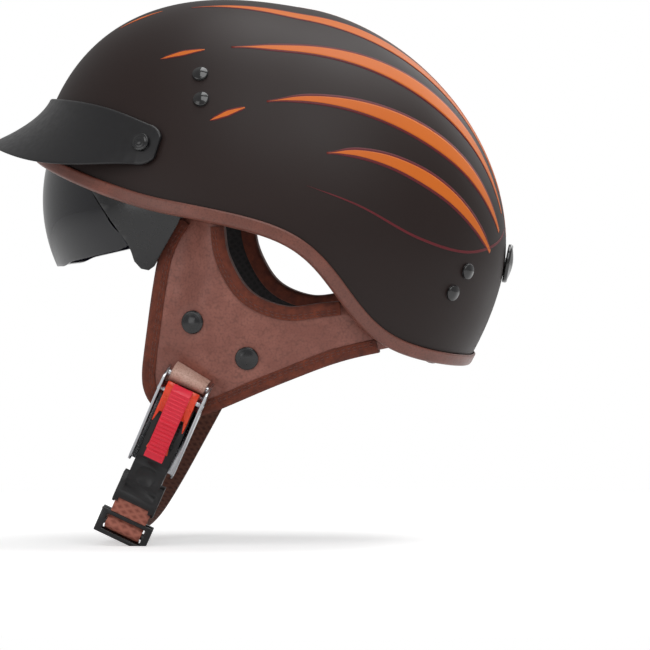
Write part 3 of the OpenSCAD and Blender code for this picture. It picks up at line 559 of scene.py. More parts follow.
@dataclass(frozen=True)
class Tinted(Finish):
    """Clear moulded plastic with dye through its depth."""

    clear: float = 0.9
    glow: float = 0.0

    def make(self) -> bpy.types.Material:
        """Transmission through a dyed body, with fine hairline unevenness in the gloss."""
        mat, tree, shader = self.start()
        shader.inputs["Transmission Weight"].default_value = self.clear
        if self.glow:
            shader.inputs["Subsurface Weight"].default_value = self.glow
            shader.inputs["Subsurface Radius"].default_value = (1.0, 0.35, 0.15)
            shader.inputs["Subsurface Scale"].default_value = 0.003
        noise = add_node(tree, "ShaderNodeTexNoise", {"Scale": 60.0, "Detail": 3.0}, {"Vector": self.place(tree)})
        rough = self.ramp(tree, noise.outputs[0], 0.35, 0.7, self.roughness, self.roughness + 0.05)
        tree.links.new(rough, shader.inputs["Roughness"])
        return mat


class Kit:
    """All finishes, each made once."""

    finishes: dict[str, Finish] = {f.name: f for f in (
        SatinPaint("satin_urethane_paint", "shell_paint", "#261815", 0.5, edge="#1e1311", specular=0.3),
        SatinPaint("orange_line_paint", "shell_paint", "#d9701e", 0.5, edge="#c5601a", specular=0.3),
        SatinPaint("maroon_line_paint", "shell_paint", "#6e1f27", 0.5, edge="#571a20", specular=0.3),
        # Each crease colour is painted shade in the grooves between pebbles.
        Leather("trim_vinyl_brown", "trim_vinyl", "#6f3f33", 0.4, pebble_mm=0.9, crease="#4c291f", worn="#80493b",
                deep_mm=0.05, coat=0.15, coat_rough=0.3),
        Leather("embossed_cover_leather", "leather_brown", "#7f4a3e", 0.46, pebble_mm=1.3, crease="#5f352b",
                worn="#935b4e", deep_mm=0.09),
        Leather("quilted_nape_leather", "leather_brown", "#633a2f", 0.52, pebble_mm=1.1, crease="#43241c",
                worn="#754a3d", deep_mm=0.09),
        Leather("strap_split_leather", "strap_tan", "#c39c8d", 0.62, pebble_mm=0.9, crease="#94695a", worn="#d4b2a4",
                deep_mm=0.07),
        Suede("rust_binding_suede", "suede_rust", "#4f2114", 0.9, nap="#74341e", sheen=0.15),
        Finish("binding_thread", "suede_rust", "#5a2617", 0.6, sheen=0.2),
        # Each light colour of a woven finish is painted sheen on its rib crests.
        Weave("black_webbing", "webbing_black", "#0e0d0d", 0.7, light="#242222"),
        Weave("brown_strap_webbing", "strap_brown", "#4b2a20", 0.72, light="#6d4335", yarn_mm=1.9),
        # This lighter copy of the brown strap webbing is painted light on the same strap at the slider and tongue.
        Weave("rosy_strap_webbing", "strap_brown", "#8b4a3c", 0.7, light="#b06a58", yarn_mm=1.9),
        Weave("lining_mesh_fabric", "lining_fabric", "#141212", 0.85, light="#262223", turn=0.785, sheen=0.2),
        Finish("eps_foam_liner", "foam_black", "#171515", 0.82),
        Finish("gloss_black_enamel", "rivet_black", "#0c0b0c", 0.16, coat=0.6, coat_rough=0.06),
        Finish("moulded_black_nylon", "plastic_black", "#151416", 0.36),
        Finish("gloss_black_acetal", "plastic_gloss", "#111113", 0.24, coat=0.3, coat_rough=0.1),
        Brushed("zinc_plated_screw", "steel_screw", "#a3a3a6", 0.32, metallic=1.0),
        Brushed("chromed_buckle_steel", "buckle_chrome", "#c4c6ca", 0.2, metallic=1.0),
        Tinted("smoked_polycarbonate", "lens_smoke", "#14141d", 0.05, clear=0.6, ior=1.585),
        Tinted("orange_lever_acetal", "lever_orange", "#ff4a24", 0.25, clear=0.25, glow=0.3, ior=1.48),
        Finish("red_grip_acetal", "lever_red", "#e3203a", 0.34),
    )}
    made: dict[str, bpy.types.Material] = {}

    @classmethod
    def dress(cls, obj: bpy.types.Object, finish: str, body: Body | None = None) -> bpy.types.Object:
        """Gives a piece its finish, and its body if it rides on one.

        Args:
            obj: The piece.
            finish: Name of the finish.
            body: Body that carries it, or None for a CAD node.

        Returns:
            The piece.
        """
        if finish not in cls.made:
            cls.made[finish] = cls.finishes[finish].make()
        obj.data.materials.clear()
        obj.data.materials.append(cls.made[finish])
        if body is not None:
            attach(obj, body.value)
        return obj


# ---------------------------------------------------------------- the dome
@dataclass(frozen=True)
class Dome:
    """The shell's outer face.

    Seen from above it is |x/w|^m + |y/l|^m = 1, and each upright cut through the middle is
    |r/plan|^n + |z/c|^n = 1. Angle a is the azimuth from +X and t the angle from +Z.
    """

    half_w: float = 120.0
    front: float = 144.0
    rear: float = 140.0
    crown: float = 131.0
    skirt: float = 166.0
    wall: float = 3.5

    def plan(self, a: np.ndarray, d: float | np.ndarray) -> np.ndarray:
        """Reach at azimuth a on the widest line, d inside the outer face."""
        s = np.sin(a)
        m = 2.15 + np.where(s > 0, 0.3 * s * s, 0)
        reach = np.where(s > 0, self.rear, self.front) - d
        return ((np.abs(np.cos(a)) / (self.half_w - d)) ** m + (np.abs(s) / reach) ** m) ** (-1 / m)

    def radius(self, a: np.ndarray, t: np.ndarray, d: float | np.ndarray = 0.0) -> np.ndarray:
        """Distance from the origin to the face."""
        s = np.sin(a)
        n = 1.96 + np.where(s > 0, -0.12, 0.64) * s * s
        c = np.where(np.cos(t) > 0, self.crown, self.skirt) - d
        return ((np.sin(t) / self.plan(a, d)) ** n + (np.abs(np.cos(t)) / c) ** n) ** (-1 / n)

    def point(self, a: np.ndarray, t: np.ndarray, d: float | np.ndarray = 0.0) -> np.ndarray:
        """Point at azimuth a and angle t, d inside the face."""
        a, t, d = np.broadcast_arrays(np.asarray(a, float), t, d)
        r = self.radius(a, t, d)
        return np.stack([r * np.sin(t) * np.cos(a), r * np.sin(t) * np.sin(a), r * np.cos(t)], -1)

    def onto(self, p: np.ndarray, d: float | np.ndarray = 0.0) -> np.ndarray:
        """Points moved along their line from the origin to the depth d."""
        return self.point(np.arctan2(p[..., 1], p[..., 0]), np.arctan2(np.hypot(p[..., 0], p[..., 1]), p[..., 2]), d)

    def normal(self, p: np.ndarray) -> np.ndarray:
        """Outward normals at points of the face, from the cross of two small steps."""
        a, t = np.arctan2(p[..., 1], p[..., 0]), np.arctan2(np.hypot(p[..., 0], p[..., 1]), p[..., 2])
        e = 1e-3
        t = np.clip(t, 2 * e, np.pi)
        n = unit(np.cross(self.point(a, t + e) - self.point(a, t - e), self.point(a + e, t) - self.point(a - e, t)))
        return n * np.sign((n * p).sum(-1, keepdims=True))

    @staticmethod
    def rim_z(y: np.ndarray) -> np.ndarray:
        """Height of the shell's edge: level at the temples, up at the brow, down at the nape."""
        return 2 + 13.5 * (np.maximum(0, (-y - 55) / 88)) ** 1.6 - 29.5 * (1 + np.tanh((y - 54) / 30))

    def rim_t(self, a: np.ndarray) -> np.ndarray:
        """Angle of the edge at each azimuth, by halving."""
        lo, hi = np.full(np.shape(a), 0.7), np.full(np.shape(a), 2.44)
        for _ in range(30):
            m = (lo + hi) / 2
            p = self.point(a, m)
            above = p[..., 2] > self.rim_z(p[..., 1])
            lo, hi = np.where(above, m, lo), np.where(above, hi, m)
        return (lo + hi) / 2

    def side(self, y: np.ndarray, z: np.ndarray, d: float | np.ndarray = 0.0) -> np.ndarray:
        """Points on the wearer's left at the given y and z, by halving their x."""
        y, z, d = np.broadcast_arrays(np.asarray(y, float), z, d)
        lo, hi = np.zeros(y.shape), np.full(y.shape, self.half_w + 5)
        for _ in range(30):
            x = (lo + hi) / 2
            h = np.hypot(x, y)
            out = np.hypot(h, z) > self.radius(np.arctan2(y, x), np.arctan2(h, z), d)
            lo, hi = np.where(out, lo, x), np.where(out, x, hi)
        return np.stack([(lo + hi) / 2, y, z], -1)


DOME = Dome()


def lathe(name: str, profile: np.ndarray, at: np.ndarray, axis: np.ndarray, count: int = 48) -> bpy.types.Object:
    """Turns a profile of (radius, height) pairs about an axis through a point."""
    n = unit(np.asarray(axis, float))
    u = unit(np.cross(n, [0.0, 0.3, 1.0]))
    v = np.cross(n, u)
    a = np.linspace(0, 2 * np.pi, count, endpoint=False)
    round_ = np.cos(a)[:, None] * u + np.sin(a)[:, None] * v
    p = np.asarray(at, float) + profile[:, None, :1] * round_[None] + profile[:, None, 1:] * n
    uv = np.stack(np.broadcast_arrays(a[None] * 3, profile[:, 1:]), -1)
    return Mesher.outward(Mesher.grid(name, p, uv, wrap_cols=True, tips=True))


def button_profile(r: float, h: float, lip: float = 0.0, dish: float = 0.0) -> np.ndarray:
    """Profile of a domed head: under side, rolled edge, low dome, with a lip or a dished middle."""
    u = np.linspace(0, 1, 14)[1:]
    edge = np.array([[0.2 * r, 0.0], [0.9 * r, 0.0], [0.985 * r, 0.06 * h], [r, 0.22 * h + lip * 0.3],
                     [0.985 * r, 0.42 * h + lip], [0.93 * r, 0.56 * h + lip]])
    top = np.stack([0.9 * r * (1 - u), h * 0.56 + h * 0.44 * np.sin(u * np.pi / 2) - dish * smooth(0.3, 0.7, u)], -1)
    return np.vstack([edge, top[:-1], [[0.01, top[-1, 1]]]])


# ---------------------------------------------------------------- shell
@dataclass
class Stripe:
    """One painted stripe: a line of rough places on the dome and half widths along it."""

    line: list[tuple[float, float, float]]
    widths: list[float]
    finish: str = "orange_line_paint"
    outline: float = 1.7


@dataclass
class Shell:
    """Moulded shell, its painted scallops and its snap fasteners."""

    columns: int = 240
    rows: int = 70
    proud: float = 0.09
    stripes: list[Stripe] = field(default_factory=lambda: [
        Stripe([(7, 128, 45), (12, 112, 78), (21, 80, 106), (30, 36, 120), (35, -14, 124), (33, -62, 110)],
               [1.2, 6.2, 8.2, 6.4, 3.4, 0.1]),
        Stripe([(20, 131, 33), (33, 112, 66), (48, 82, 91), (60, 42, 104), (68, 2, 104), (72, -34, 95)],
               [1.0, 5.2, 7.0, 5.6, 3.0, 0.1]),
        Stripe([(34, 128, 22), (56, 106, 52), (76, 76, 72), (88, 44, 80), (95, 14, 79), (99, -8, 73)],
               [0.9, 4.2, 5.6, 4.6, 2.4, 0.1]),
        Stripe([(48, 122, 10), (74, 98, 36), (92, 72, 50), (103, 50, 54), (109, 32, 51)],
               [0.8, 3.2, 4.2, 2.8, 0.1]),
        Stripe([(27, -76, 103), (26, -85, 98), (24, -97, 89)], [0.2, 1.7, 0.1], outline=0.8),
        Stripe([(72, -47, 89), (71, -55, 84), (69, -66, 76)], [0.2, 1.6, 0.1], outline=0.8),
        Stripe([(100, -19, 66), (100, -26, 61), (99, -35, 53)], [0.2, 1.5, 0.1], outline=0.8),
        Stripe([(14, 134, 24), (42, 124, 14), (70, 108, 8), (92, 84, 12), (108, 54, 24), (114, 24, 30)],
               [0.5, 0.75, 0.75, 0.7, 0.5, 0.1], "maroon_line_paint", 0.0),
    ])
    rivets: list[tuple[float, float]] = field(default_factory=lambda: [(-49, 81), (-45, 67), (115, -15.5), (121, -2)])

    def build(self) -> None:
        """Makes the shell, the stripes and the fasteners."""
        self.wall()
        for k, stripe in enumerate(self.stripes):
            for side in Side:
                self.paint(f"scallop_{k}_{side.word}", stripe, side)
        self.paint("scallop_centre", Stripe([(0, 139, 20), (0, 132, 46), (0, 116, 78), (0, 86, 106), (0, 40, 124),
                                             (0, -8, 131)], [1.0, 2.6, 3.4, 2.6, 1.4, 0.1]), Side.LEFT)
        self.fasteners()

    def wall(self) -> None:
        """Outer face down to the edge, round it and up the inner face, closed at both crowns."""
        a = np.linspace(0, 2 * np.pi, self.columns, endpoint=False)
        rim = DOME.rim_t(a)
        v = np.linspace(0, 1, self.rows + 1)[1:]
        turn = np.linspace(0, np.pi, 7)[1:-1]
        half = DOME.wall / 2
        arc = 1 / np.linalg.norm(DOME.point(a, rim), axis=-1)
        down = np.concatenate([v * 0 + 0, half * np.sin(turn), v * 0 + 0])
        depth = np.concatenate([v * 0, half - half * np.cos(turn), v * 0 + DOME.wall])
        share = np.concatenate([v, np.ones(5), v[::-1]])
        t = share[:, None] * (rim - half * arc) + down[:, None] * arc
        p = DOME.point(a[None], t, depth[:, None])
        uv = np.stack(np.broadcast_arrays(a[None] * 120, t * 130), -1)
        shell = Mesher.outward(Mesher.grid("shell", p, uv, wrap_cols=True, tips=True))
        Kit.dress(shell, "satin_urethane_paint", Body.HELMET)
        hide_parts("outer_shell")

    def paint(self, name: str, stripe: Stripe, side: Side) -> None:
        """Lays a stripe and its outline on the dome as films that end in points.

        The film is the set of points c(s) + v w(s) b(s), moved to the dome, with c the line,
        w its half width and b the sideways direction on the face.
        """
        c = DOME.onto(even(catmull(np.array(stripe.line, float), 200), 90))
        n = DOME.normal(c)
        b = np.cross(n, along(c))
        s = np.linspace(0, 1, len(c))
        w = np.interp(s, np.linspace(0, 1, len(stripe.widths)), stripe.widths)
        w = np.convolve(np.pad(w, 7, mode="edge"), np.ones(15) / 15, "valid") * (1 - smooth(0.9, 1, s)) + 0.04
        layers = [("", stripe.finish, w, self.proud + 0.05)]
        if stripe.outline:
            grow = stripe.outline * (0.35 + 0.65 * smooth(0, 0.1, s)) * (1 - 0.6 * smooth(0.85, 1, s))
            layers.append(("_outline", "maroon_line_paint", w + grow, self.proud))
        for word, finish, width, high in layers:
            v = np.linspace(-1, 1, 9)
            flat = c[:, None] + b[:, None] * (v[None, :, None] * width[:, None, None])
            uv = np.stack(np.broadcast_arrays(s[:, None] * 200, v[None] * 5), -1)
            piece = Mesher.slab(name + word, Mesher.mirrored(DOME.onto(flat, -high), side),
                                Mesher.mirrored(DOME.onto(flat, 0.1), side), uv)
            Kit.dress(Mesher.outward(piece), finish, Body.HELMET)

    def fasteners(self) -> None:
        """Domed heads of the anchor rivets and the large button at the rear."""
        for side in Side:
            for word, pair in (("front_rivet", self.rivets[:2]), ("rear_rivet", self.rivets[2:])):
                at = DOME.side(np.array([p[0] for p in pair]), np.array([p[1] for p in pair]))
                axis = DOME.normal(at)
                for k in range(2):
                    a, n = Mesher.mirrored(at[k], side), Mesher.mirrored(axis[k], side)
                    head = lathe(f"{word}_{k}_{side.word}", button_profile(4.6, 2.7), a + n * 0.15, n)
                    Kit.dress(head, "gloss_black_enamel", Body.HELMET)
        button = lathe("rear_snap", button_profile(11.5, 4.4, 0.3), np.array([0, 140.2, 4.5]), np.array([0, 1.0, 0]), 72)
        Kit.dress(button, "gloss_black_enamel", Body.HELMET)


# ---------------------------------------------------------------- trim
@dataclass
class EdgeTrim:
    """Rolled bead of brown vinyl round the shell's edge."""

    columns: int = 360
    lip: float = 1.5
    inner_lip: float = 1.2
    high: float = 5.6
    gap: float = 0.42

    def build(self) -> None:
        """Carries the rounded channel section along the edge."""
        a = np.linspace(0, 2 * np.pi, self.columns, endpoint=False)
        rim = DOME.rim_t(a)
        p = DOME.point(a, rim)
        t = along(p, closed=True)
        up = DOME.point(a, rim * 0.97) - p
        out = unit(np.cross(up, t))
        out *= np.sign((out * p).sum(-1, keepdims=True))
        down = unit(np.cross(out, t))
        down *= -np.sign(down[:, 2:])
        c, l, w, b, h = self.gap, self.lip, DOME.wall, self.inner_lip, self.high
        sec = np.array([[c, -h + 0.2], [c + l * 0.35, -h - 0.35], [c + l * 0.95, -h + 0.3], [c + l * 1.04, -h * 0.5],
                        [c + l * 1.04, -0.4], [c + l * 0.75, 1.0], [0, 1.95], [-w / 2, 2.2], [-w - c, 1.95],
                        [-w - c - b * 0.8, 0.9], [-w - c - b, -0.6], [-w - c - b, -h + 1.4],
                        [-w - c - b * 0.45, -h + 0.7], [-w - c, -h + 1.3], [-w - c, -0.2], [-w + 0.2, c], [-0.2, c],
                        [c, -0.2]])
        sec = catmull(np.vstack([sec, sec[:1]]), 61)[:-1]
        ring = p[:, None] + out[:, None] * sec[None, :, :1] + down[:, None] * sec[None, :, 1:]
        s = np.arange(len(a)) * 2.2
        uv = np.stack(np.broadcast_arrays(s[:, None], np.arange(60)[None] * 0.6), -1)
        trim = Mesher.outward(Mesher.swept("rim_bead", ring, uv, closed_path=True))
        Kit.dress(trim, "trim_vinyl_brown", Body.HELMET)
        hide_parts("edge_trim")


# ---------------------------------------------------------------- padding
def settle(obj: bpy.types.Object, held: np.ndarray, pressure: float, cap_mm: float, frames: int = 16) -> None:
    """Swells a closed piece with Blender's cloth, then keeps each vertex within a cap.

    Args:
        obj: The piece, whose mesh changes.
        held: How firmly each vertex stays, 0 to 1.
        pressure: Air pressure inside.
        cap_mm: The furthest that a vertex may move.
        frames: Frames that the cloth runs.
    """
    before = np.empty(len(obj.data.vertices) * 3, np.float32)
    obj.data.vertices.foreach_get("co", before)
    group = obj.vertex_groups.new(name="held")
    for level in np.unique(np.round(held, 2)):
        if level > 0:
            group.add(np.flatnonzero(np.round(held, 2) == level).tolist(), float(level), "REPLACE")
    mod = obj.modifiers.new("Cloth", "CLOTH")
    mod.settings.use_pressure = True
    mod.settings.uniform_pressure_force = pressure
    mod.settings.vertex_group_mass = "held"
    mod.settings.effector_weights.gravity = 0.0
    mod.settings.tension_stiffness = 25.0
    mod.settings.bending_stiffness = 2.0
    mod.settings.quality = 6
    mod.point_cache.frame_start, mod.point_cache.frame_end = 1, frames
    scene = bpy.context.scene
    for number in range(1, frames + 1):
        scene.frame_set(number)
    mesh = bpy.data.meshes.new_from_object(obj.evaluated_get(bpy.context.evaluated_depsgraph_get()))
    after = np.empty(len(mesh.vertices) * 3, np.float32)
    mesh.vertices.foreach_get("co", after)
    move = (after - before).reshape(-1, 3)
    far = np.linalg.norm(move, axis=1, keepdims=True)
    move *= np.minimum(1, cap_mm * MM / np.maximum(far, 1e-9)) * (1 - held[:, None])
    obj.modifiers.clear()
    obj.vertex_groups.clear()
    obj.data.vertices.foreach_set("co", (before.reshape(-1, 3) + move).ravel())
    obj.data.update()
    bpy.data.meshes.remove(mesh)
    scene.frame_set(1)
    log.info("%s settled: moved up to %.1f mm", obj.name, float(np.linalg.norm(move, axis=1).max()) / MM)


# ---------------------------------------------------------------- inside
@dataclass
class Interior:
    """Comfort pads inside the foam liner, and the quilted roll at the nape."""

    half_w: float = 86.0
    half_l: float = 106.0
    height: float = 104.0
    pad: float = 7.0
    columns: int = 168

    def head(self, a: np.ndarray, t: np.ndarray, grow: np.ndarray) -> np.ndarray:
        """Point of the ellipsoid space for the head, grown by a length."""
        a, t, grow = np.broadcast_arrays(a, t, grow)
        d = np.stack([np.sin(t) * np.cos(a), np.sin(t) * np.sin(a), np.cos(t)], -1)
        axes = np.stack([self.half_w + grow, self.half_l + grow, self.height + grow], -1)
        return d / np.linalg.norm(d / axes, axis=-1, keepdims=True)

    def edge(self, a: np.ndarray) -> np.ndarray:
        """Angle of the liner's edge, 8 mm of arc above the shell's."""
        rim = DOME.rim_t(a)
        return rim * (1 - 8 / (np.linalg.norm(DOME.point(a, rim), axis=-1) * rim))

    def build(self) -> None:
        """Makes the crown pad, the head band and the neck roll."""
        Kit.dress(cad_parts["impact_liner"], "eps_foam_liner")
        a = np.linspace(0, 2 * np.pi, self.columns, endpoint=False)
        self.crown_pad(a, self.edge(a))
        self.headband(a, self.edge(a))
        self.neck_roll()

    def crown_pad(self, a: np.ndarray, edge: np.ndarray) -> None:
        """Round pad of six petals, sewn down between them."""
        u = np.concatenate([np.linspace(0.06, 1, 24), np.linspace(1, 0.06, 24)])
        front = np.concatenate([np.zeros(24), np.ones(24)])
        share = u * 7.35 / 12
        petal = 1 - 0.3 * np.exp(-((np.abs(((a / (2 * np.pi) * 6) % 1) - 0.5) - 0.5) / 0.035) ** 2)
        swell = np.sqrt(np.clip(1 - u**8, 0, 1))[:, None] * (0.6 + 0.4 * petal[None] ** 2)
        grow = -0.8 - self.pad * 0.5 * (1 + np.where(front[:, None] > 0, 1, -1) * swell)
        p = self.head(a[None], share[:, None] * edge[None], grow)
        uv = np.stack([p[..., 0], p[..., 1]], -1)
        pad = Mesher.outward(Mesher.grid("crown_comfort_pad", p, uv, wrap_cols=True, tips=True))
        Kit.dress(pad, "lining_mesh_fabric", Body.HELMET)
        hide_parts("crown_pad")
        settle(pad, self.held(pad, np.r_[np.tile(np.where(u > 0.93, 1.0, 0.35)[:, None], (1, len(a))).ravel(), 1, 1]),
               1.5, 1.2)

    def headband(self, a: np.ndarray, edge: np.ndarray) -> None:
        """Band of twelve cells round the brow, temples and nape."""
        s = np.linspace(0, 2 * np.pi, 44, endpoint=False)
        lift, face = np.cos(s), np.sin(s)
        k = (np.abs(lift) ** 5 + np.abs(face) ** 5) ** (-1 / 5)
        share = (9.6 + 1.82 * lift * k) / 12
        cell = np.exp(-((((a / (2 * np.pi) * 12) % 1) - 0.5) / 0.03) ** 2)
        swell = face[:, None] * k[:, None] * (1 - 0.35 * cell[None]) * (0.82 + 0.18 * np.cos(lift * k * 1.4)[:, None])
        p = self.head(a[None], share[:, None] * edge[None], -0.8 - self.pad * 0.5 * (1 + swell))
        uv = np.stack(np.broadcast_arrays(a[None] * 100, share[:, None] * 120), -1)
        band = Mesher.outward(Mesher.grid("head_band", p, uv, wrap_rows=True, wrap_cols=True))
        Kit.dress(band, "lining_mesh_fabric", Body.HELMET)
        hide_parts("headband")
        settle(band, self.held(band, np.tile(np.where(face < 0.2, 1.0, 0.4)[:, None], (1, len(a))).ravel()), 1.5, 1.2)

    @staticmethod
    def held(obj: bpy.types.Object, wish: np.ndarray) -> np.ndarray:
        """The wish where the mesh kept its vertices, and a middling hold where it didn't."""
        n = len(obj.data.vertices)
        return wish if len(wish) == n else np.full(n, 0.5)

    def neck_roll(self) -> None:
        """Leather roll under the nape, gathered into cells by stitched channels."""
        a = np.radians(np.linspace(54.5, 125.5, 221))
        depth = np.array([7.5, 10, 16, 23, 26, 23, 15, 9.5])
        share = np.array([0.5, 0, 0, 0.1, 0.55, 0.95, 1, 0.9])
        rim = DOME.rim_t(a)
        arc = np.linalg.norm(DOME.point(a, rim), axis=-1)
        end = smooth(0, np.radians(11), np.minimum(a - a[0], a[-1] - a))
        top, low = rim - 7.5 / arc, rim + 9 * (0.4 + 0.6 * end) / arc
        sec = catmull(np.stack([np.r_[depth, depth[0]], np.r_[share, share[0]]], -1), 49)[:-1]
        mid = sec.mean(0)
        cell = np.abs(np.sin(np.degrees(a) * np.pi / 7.1))
        puff = 0.80 + 0.22 * cell ** 0.5
        taper = np.sqrt(np.clip(smooth(-0.002, np.radians(3), np.minimum(a - a[0], a[-1] - a)), 0.02, 1))
        q = mid + (sec - mid)[None] * (puff * taper)[:, None, None]
        t = top[:, None] + (low - top)[:, None] * q[..., 1]
        p = DOME.point(a[:, None], t, q[..., 0])
        uv = np.stack(np.broadcast_arrays((a * 110)[:, None], np.arange(48)[None] * 1.0), -1)
        roll = Mesher.outward(Mesher.grid("nape_roll", p, uv, wrap_cols=True, tips=True))
        Kit.dress(roll, "quilted_nape_leather", Body.HELMET)
        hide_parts("neck_roll")
        settle(roll, self.held(roll, np.r_[np.tile((0.45 + 0.5 * (1 - cell))[:, None], (1, 48)).ravel(), 1, 1]), 2.0, 1.2)


# ---------------------------------------------------------------- ear covers
@dataclass
class EarCovers:
    """Padded leather covers over the Y straps, with bound edges, lining and snap caps."""

    thick: float = 5.0
    web_gap: float = 4.2
    lining: float = 4.0
    bind_w: float = 6.5
    bind_t: float = 1.0
    rows: int = 150
    cells: int = 34
    cap_r: float = 6.7
    caps: list[tuple[float, float]] = field(default_factory=lambda: [(-26.7, -58.5), (7.5, -73)])
    slit: tuple[tuple[float, float], tuple[float, float]] = ((-37, -79), (-5, -94))

    @staticmethod
    def x(y: np.ndarray, z: np.ndarray) -> np.ndarray:
        """Half width of the cover's outer face: inside the shell's outline, closing to the chin."""
        reach = np.where(y > 0, DOME.rear, DOME.front)
        plan = DOME.half_w * np.maximum(0, 1 - (np.abs(y) / reach) ** 2.15) ** (1 / 2.15)
        return plan * np.sqrt(1 - (z / 230) ** 2) - 13.5 - 10 * (1 - smooth(-42, -18, y)) * smooth(-78, -32, z)

    def place(self, y: np.ndarray, z: np.ndarray, deep: np.ndarray | float = 0.0) -> np.ndarray:
        """Points at the given y and z, deep inside the cover's face."""
        return np.stack(np.broadcast_arrays(self.x(y, z) - deep, y, z), -1)

    def edges(self) -> tuple[np.ndarray, np.ndarray]:
        """The notch round the ear and the outer outline, as (y, z) rows of equal count."""
        rim = lambda y: (y, float(DOME.rim_z(np.array(float(y)))) - 2.5)
        notch = catmull(np.array([rim(-20), (-14, -18), (2, -36), (24, -41), (42, -36), rim(56)]), 21)
        outer = catmull(np.array([rim(-45), (-53, -25), (-51, -70), (-47, -104), (-22, -114), (22, -87), (58, -65),
                                  rim(86)]), 22)
        u = np.linspace(0, 1, self.rows)
        pick = lambda c: np.stack([np.interp(u, np.linspace(0, 1, len(c)), c[:, k]) for k in (0, 1)], -1)
        ease = lambda c: np.stack([np.convolve(np.pad(c[:, k], 4, mode="reflect", reflect_type="odd"), np.ones(9) / 9,
                                               "valid") for k in (0, 1)], -1)
        return ease(pick(notch)), ease(pick(outer))

    def build(self) -> None:
        """Makes both covers and what is sewn or snapped to them."""
        notch, outer = self.edges()
        for side in Side:
            self.cover(side, notch, outer)
            self.lining_pad(side, notch, outer)
            self.bindings(side, notch, outer)
            self.snap_caps(side)

    def dents(self, yz: np.ndarray) -> np.ndarray:
        """How far the face is drawn in: round each cap, along the slit and in soft wrinkles."""
        p0, p1 = (np.array(p, float) for p in self.slit)
        f = np.clip(((yz - p0) @ (p1 - p0)) / ((p1 - p0) @ (p1 - p0)), 0, 1)
        to_slit = np.linalg.norm(yz - (p0 + f[..., None] * (p1 - p0)), axis=-1)
        d = 1.5 * np.exp(-((to_slit / 3.2) ** 2)) - 0.35 * np.exp(-(((to_slit - 6) / 2.6) ** 2))
        for cap in self.caps:
            r = np.linalg.norm(yz - np.array(cap), axis=-1)
            d = d + 0.75 * np.exp(-((r / 8.5) ** 4)) - 0.3 * np.exp(-(((r - 11) / 3.5) ** 2))
        flat = np.concatenate([np.zeros(yz.shape[:-1] + (1,)), yz * [1.0, 1.9]], -1)
        return d + 0.32 * ripple(flat, 5, 26) + 0.2 * ripple(flat, 8, 11)

    def cover(self, side: Side, notch: np.ndarray, outer: np.ndarray) -> None:
        """Crowned pad between the two outlines, thin at its sewn edges."""
        w = np.linspace(0.012, 0.988, self.cells)
        yz = notch[:, None] * (1 - w[None, :, None]) + outer[:, None] * w[None, :, None]
        wide = np.linalg.norm(outer - notch, axis=-1)[:, None]
        edge = np.minimum(w, 1 - w)[None] * wide
        crown = smooth(0, 9, edge)
        mid, half = self.thick / 2, self.thick / 2 * (0.55 + 0.45 * crown)
        face = mid - half + self.dents(yz) * smooth(2, 10, edge) - 0.55 * crown
        back = mid + half
        p = self.place(yz[..., 0], yz[..., 1], face)
        q = self.place(yz[..., 0], yz[..., 1], back)
        obj = Mesher.outward(Mesher.slab(f"ear_pad_{side.word}", Mesher.mirrored(p, side), Mesher.mirrored(q, side), yz))
        Kit.dress(obj, "embossed_cover_leather", Body.HELMET)
        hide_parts(f"ear_cover_{side.word}")
        near_cap = np.min([np.linalg.norm(yz - np.array(c), axis=-1) for c in self.caps], axis=0)
        hold = np.maximum(1 - smooth(4, 9, edge), 1 - smooth(6, 11, near_cap))
        settle(obj, Interior.held(obj, np.r_[np.maximum(hold, 0.3).ravel(), np.ones(hold.size)]), 2.5, 1.3)

    def lining_pad(self, side: Side, notch: np.ndarray, outer: np.ndarray) -> None:
        """Soft black lining against the cheek, sewn in upright channels."""
        w = np.linspace(0.06, 0.94, 26)
        yz = notch[:, None] * (1 - w[None, :, None]) + outer[:, None] * w[None, :, None]
        edge = np.minimum(w, 1 - w)[None] * np.linalg.norm(outer - notch, axis=-1)[:, None]
        swell = smooth(0, 8, edge) * (0.78 + 0.22 * np.abs(np.sin(yz[..., 0] * np.pi / 17)) ** 0.5)
        top = self.thick + self.web_gap
        p = self.place(yz[..., 0], yz[..., 1], top)
        q = self.place(yz[..., 0], yz[..., 1], top + self.lining * (0.45 + 0.62 * swell))
        obj = Mesher.outward(Mesher.slab(f"cheek_lining_{side.word}", Mesher.mirrored(p, side),
                                         Mesher.mirrored(q, side), yz))
        Kit.dress(obj, "lining_mesh_fabric", Body.HELMET)
        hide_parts(f"ear_lining_{side.word}")

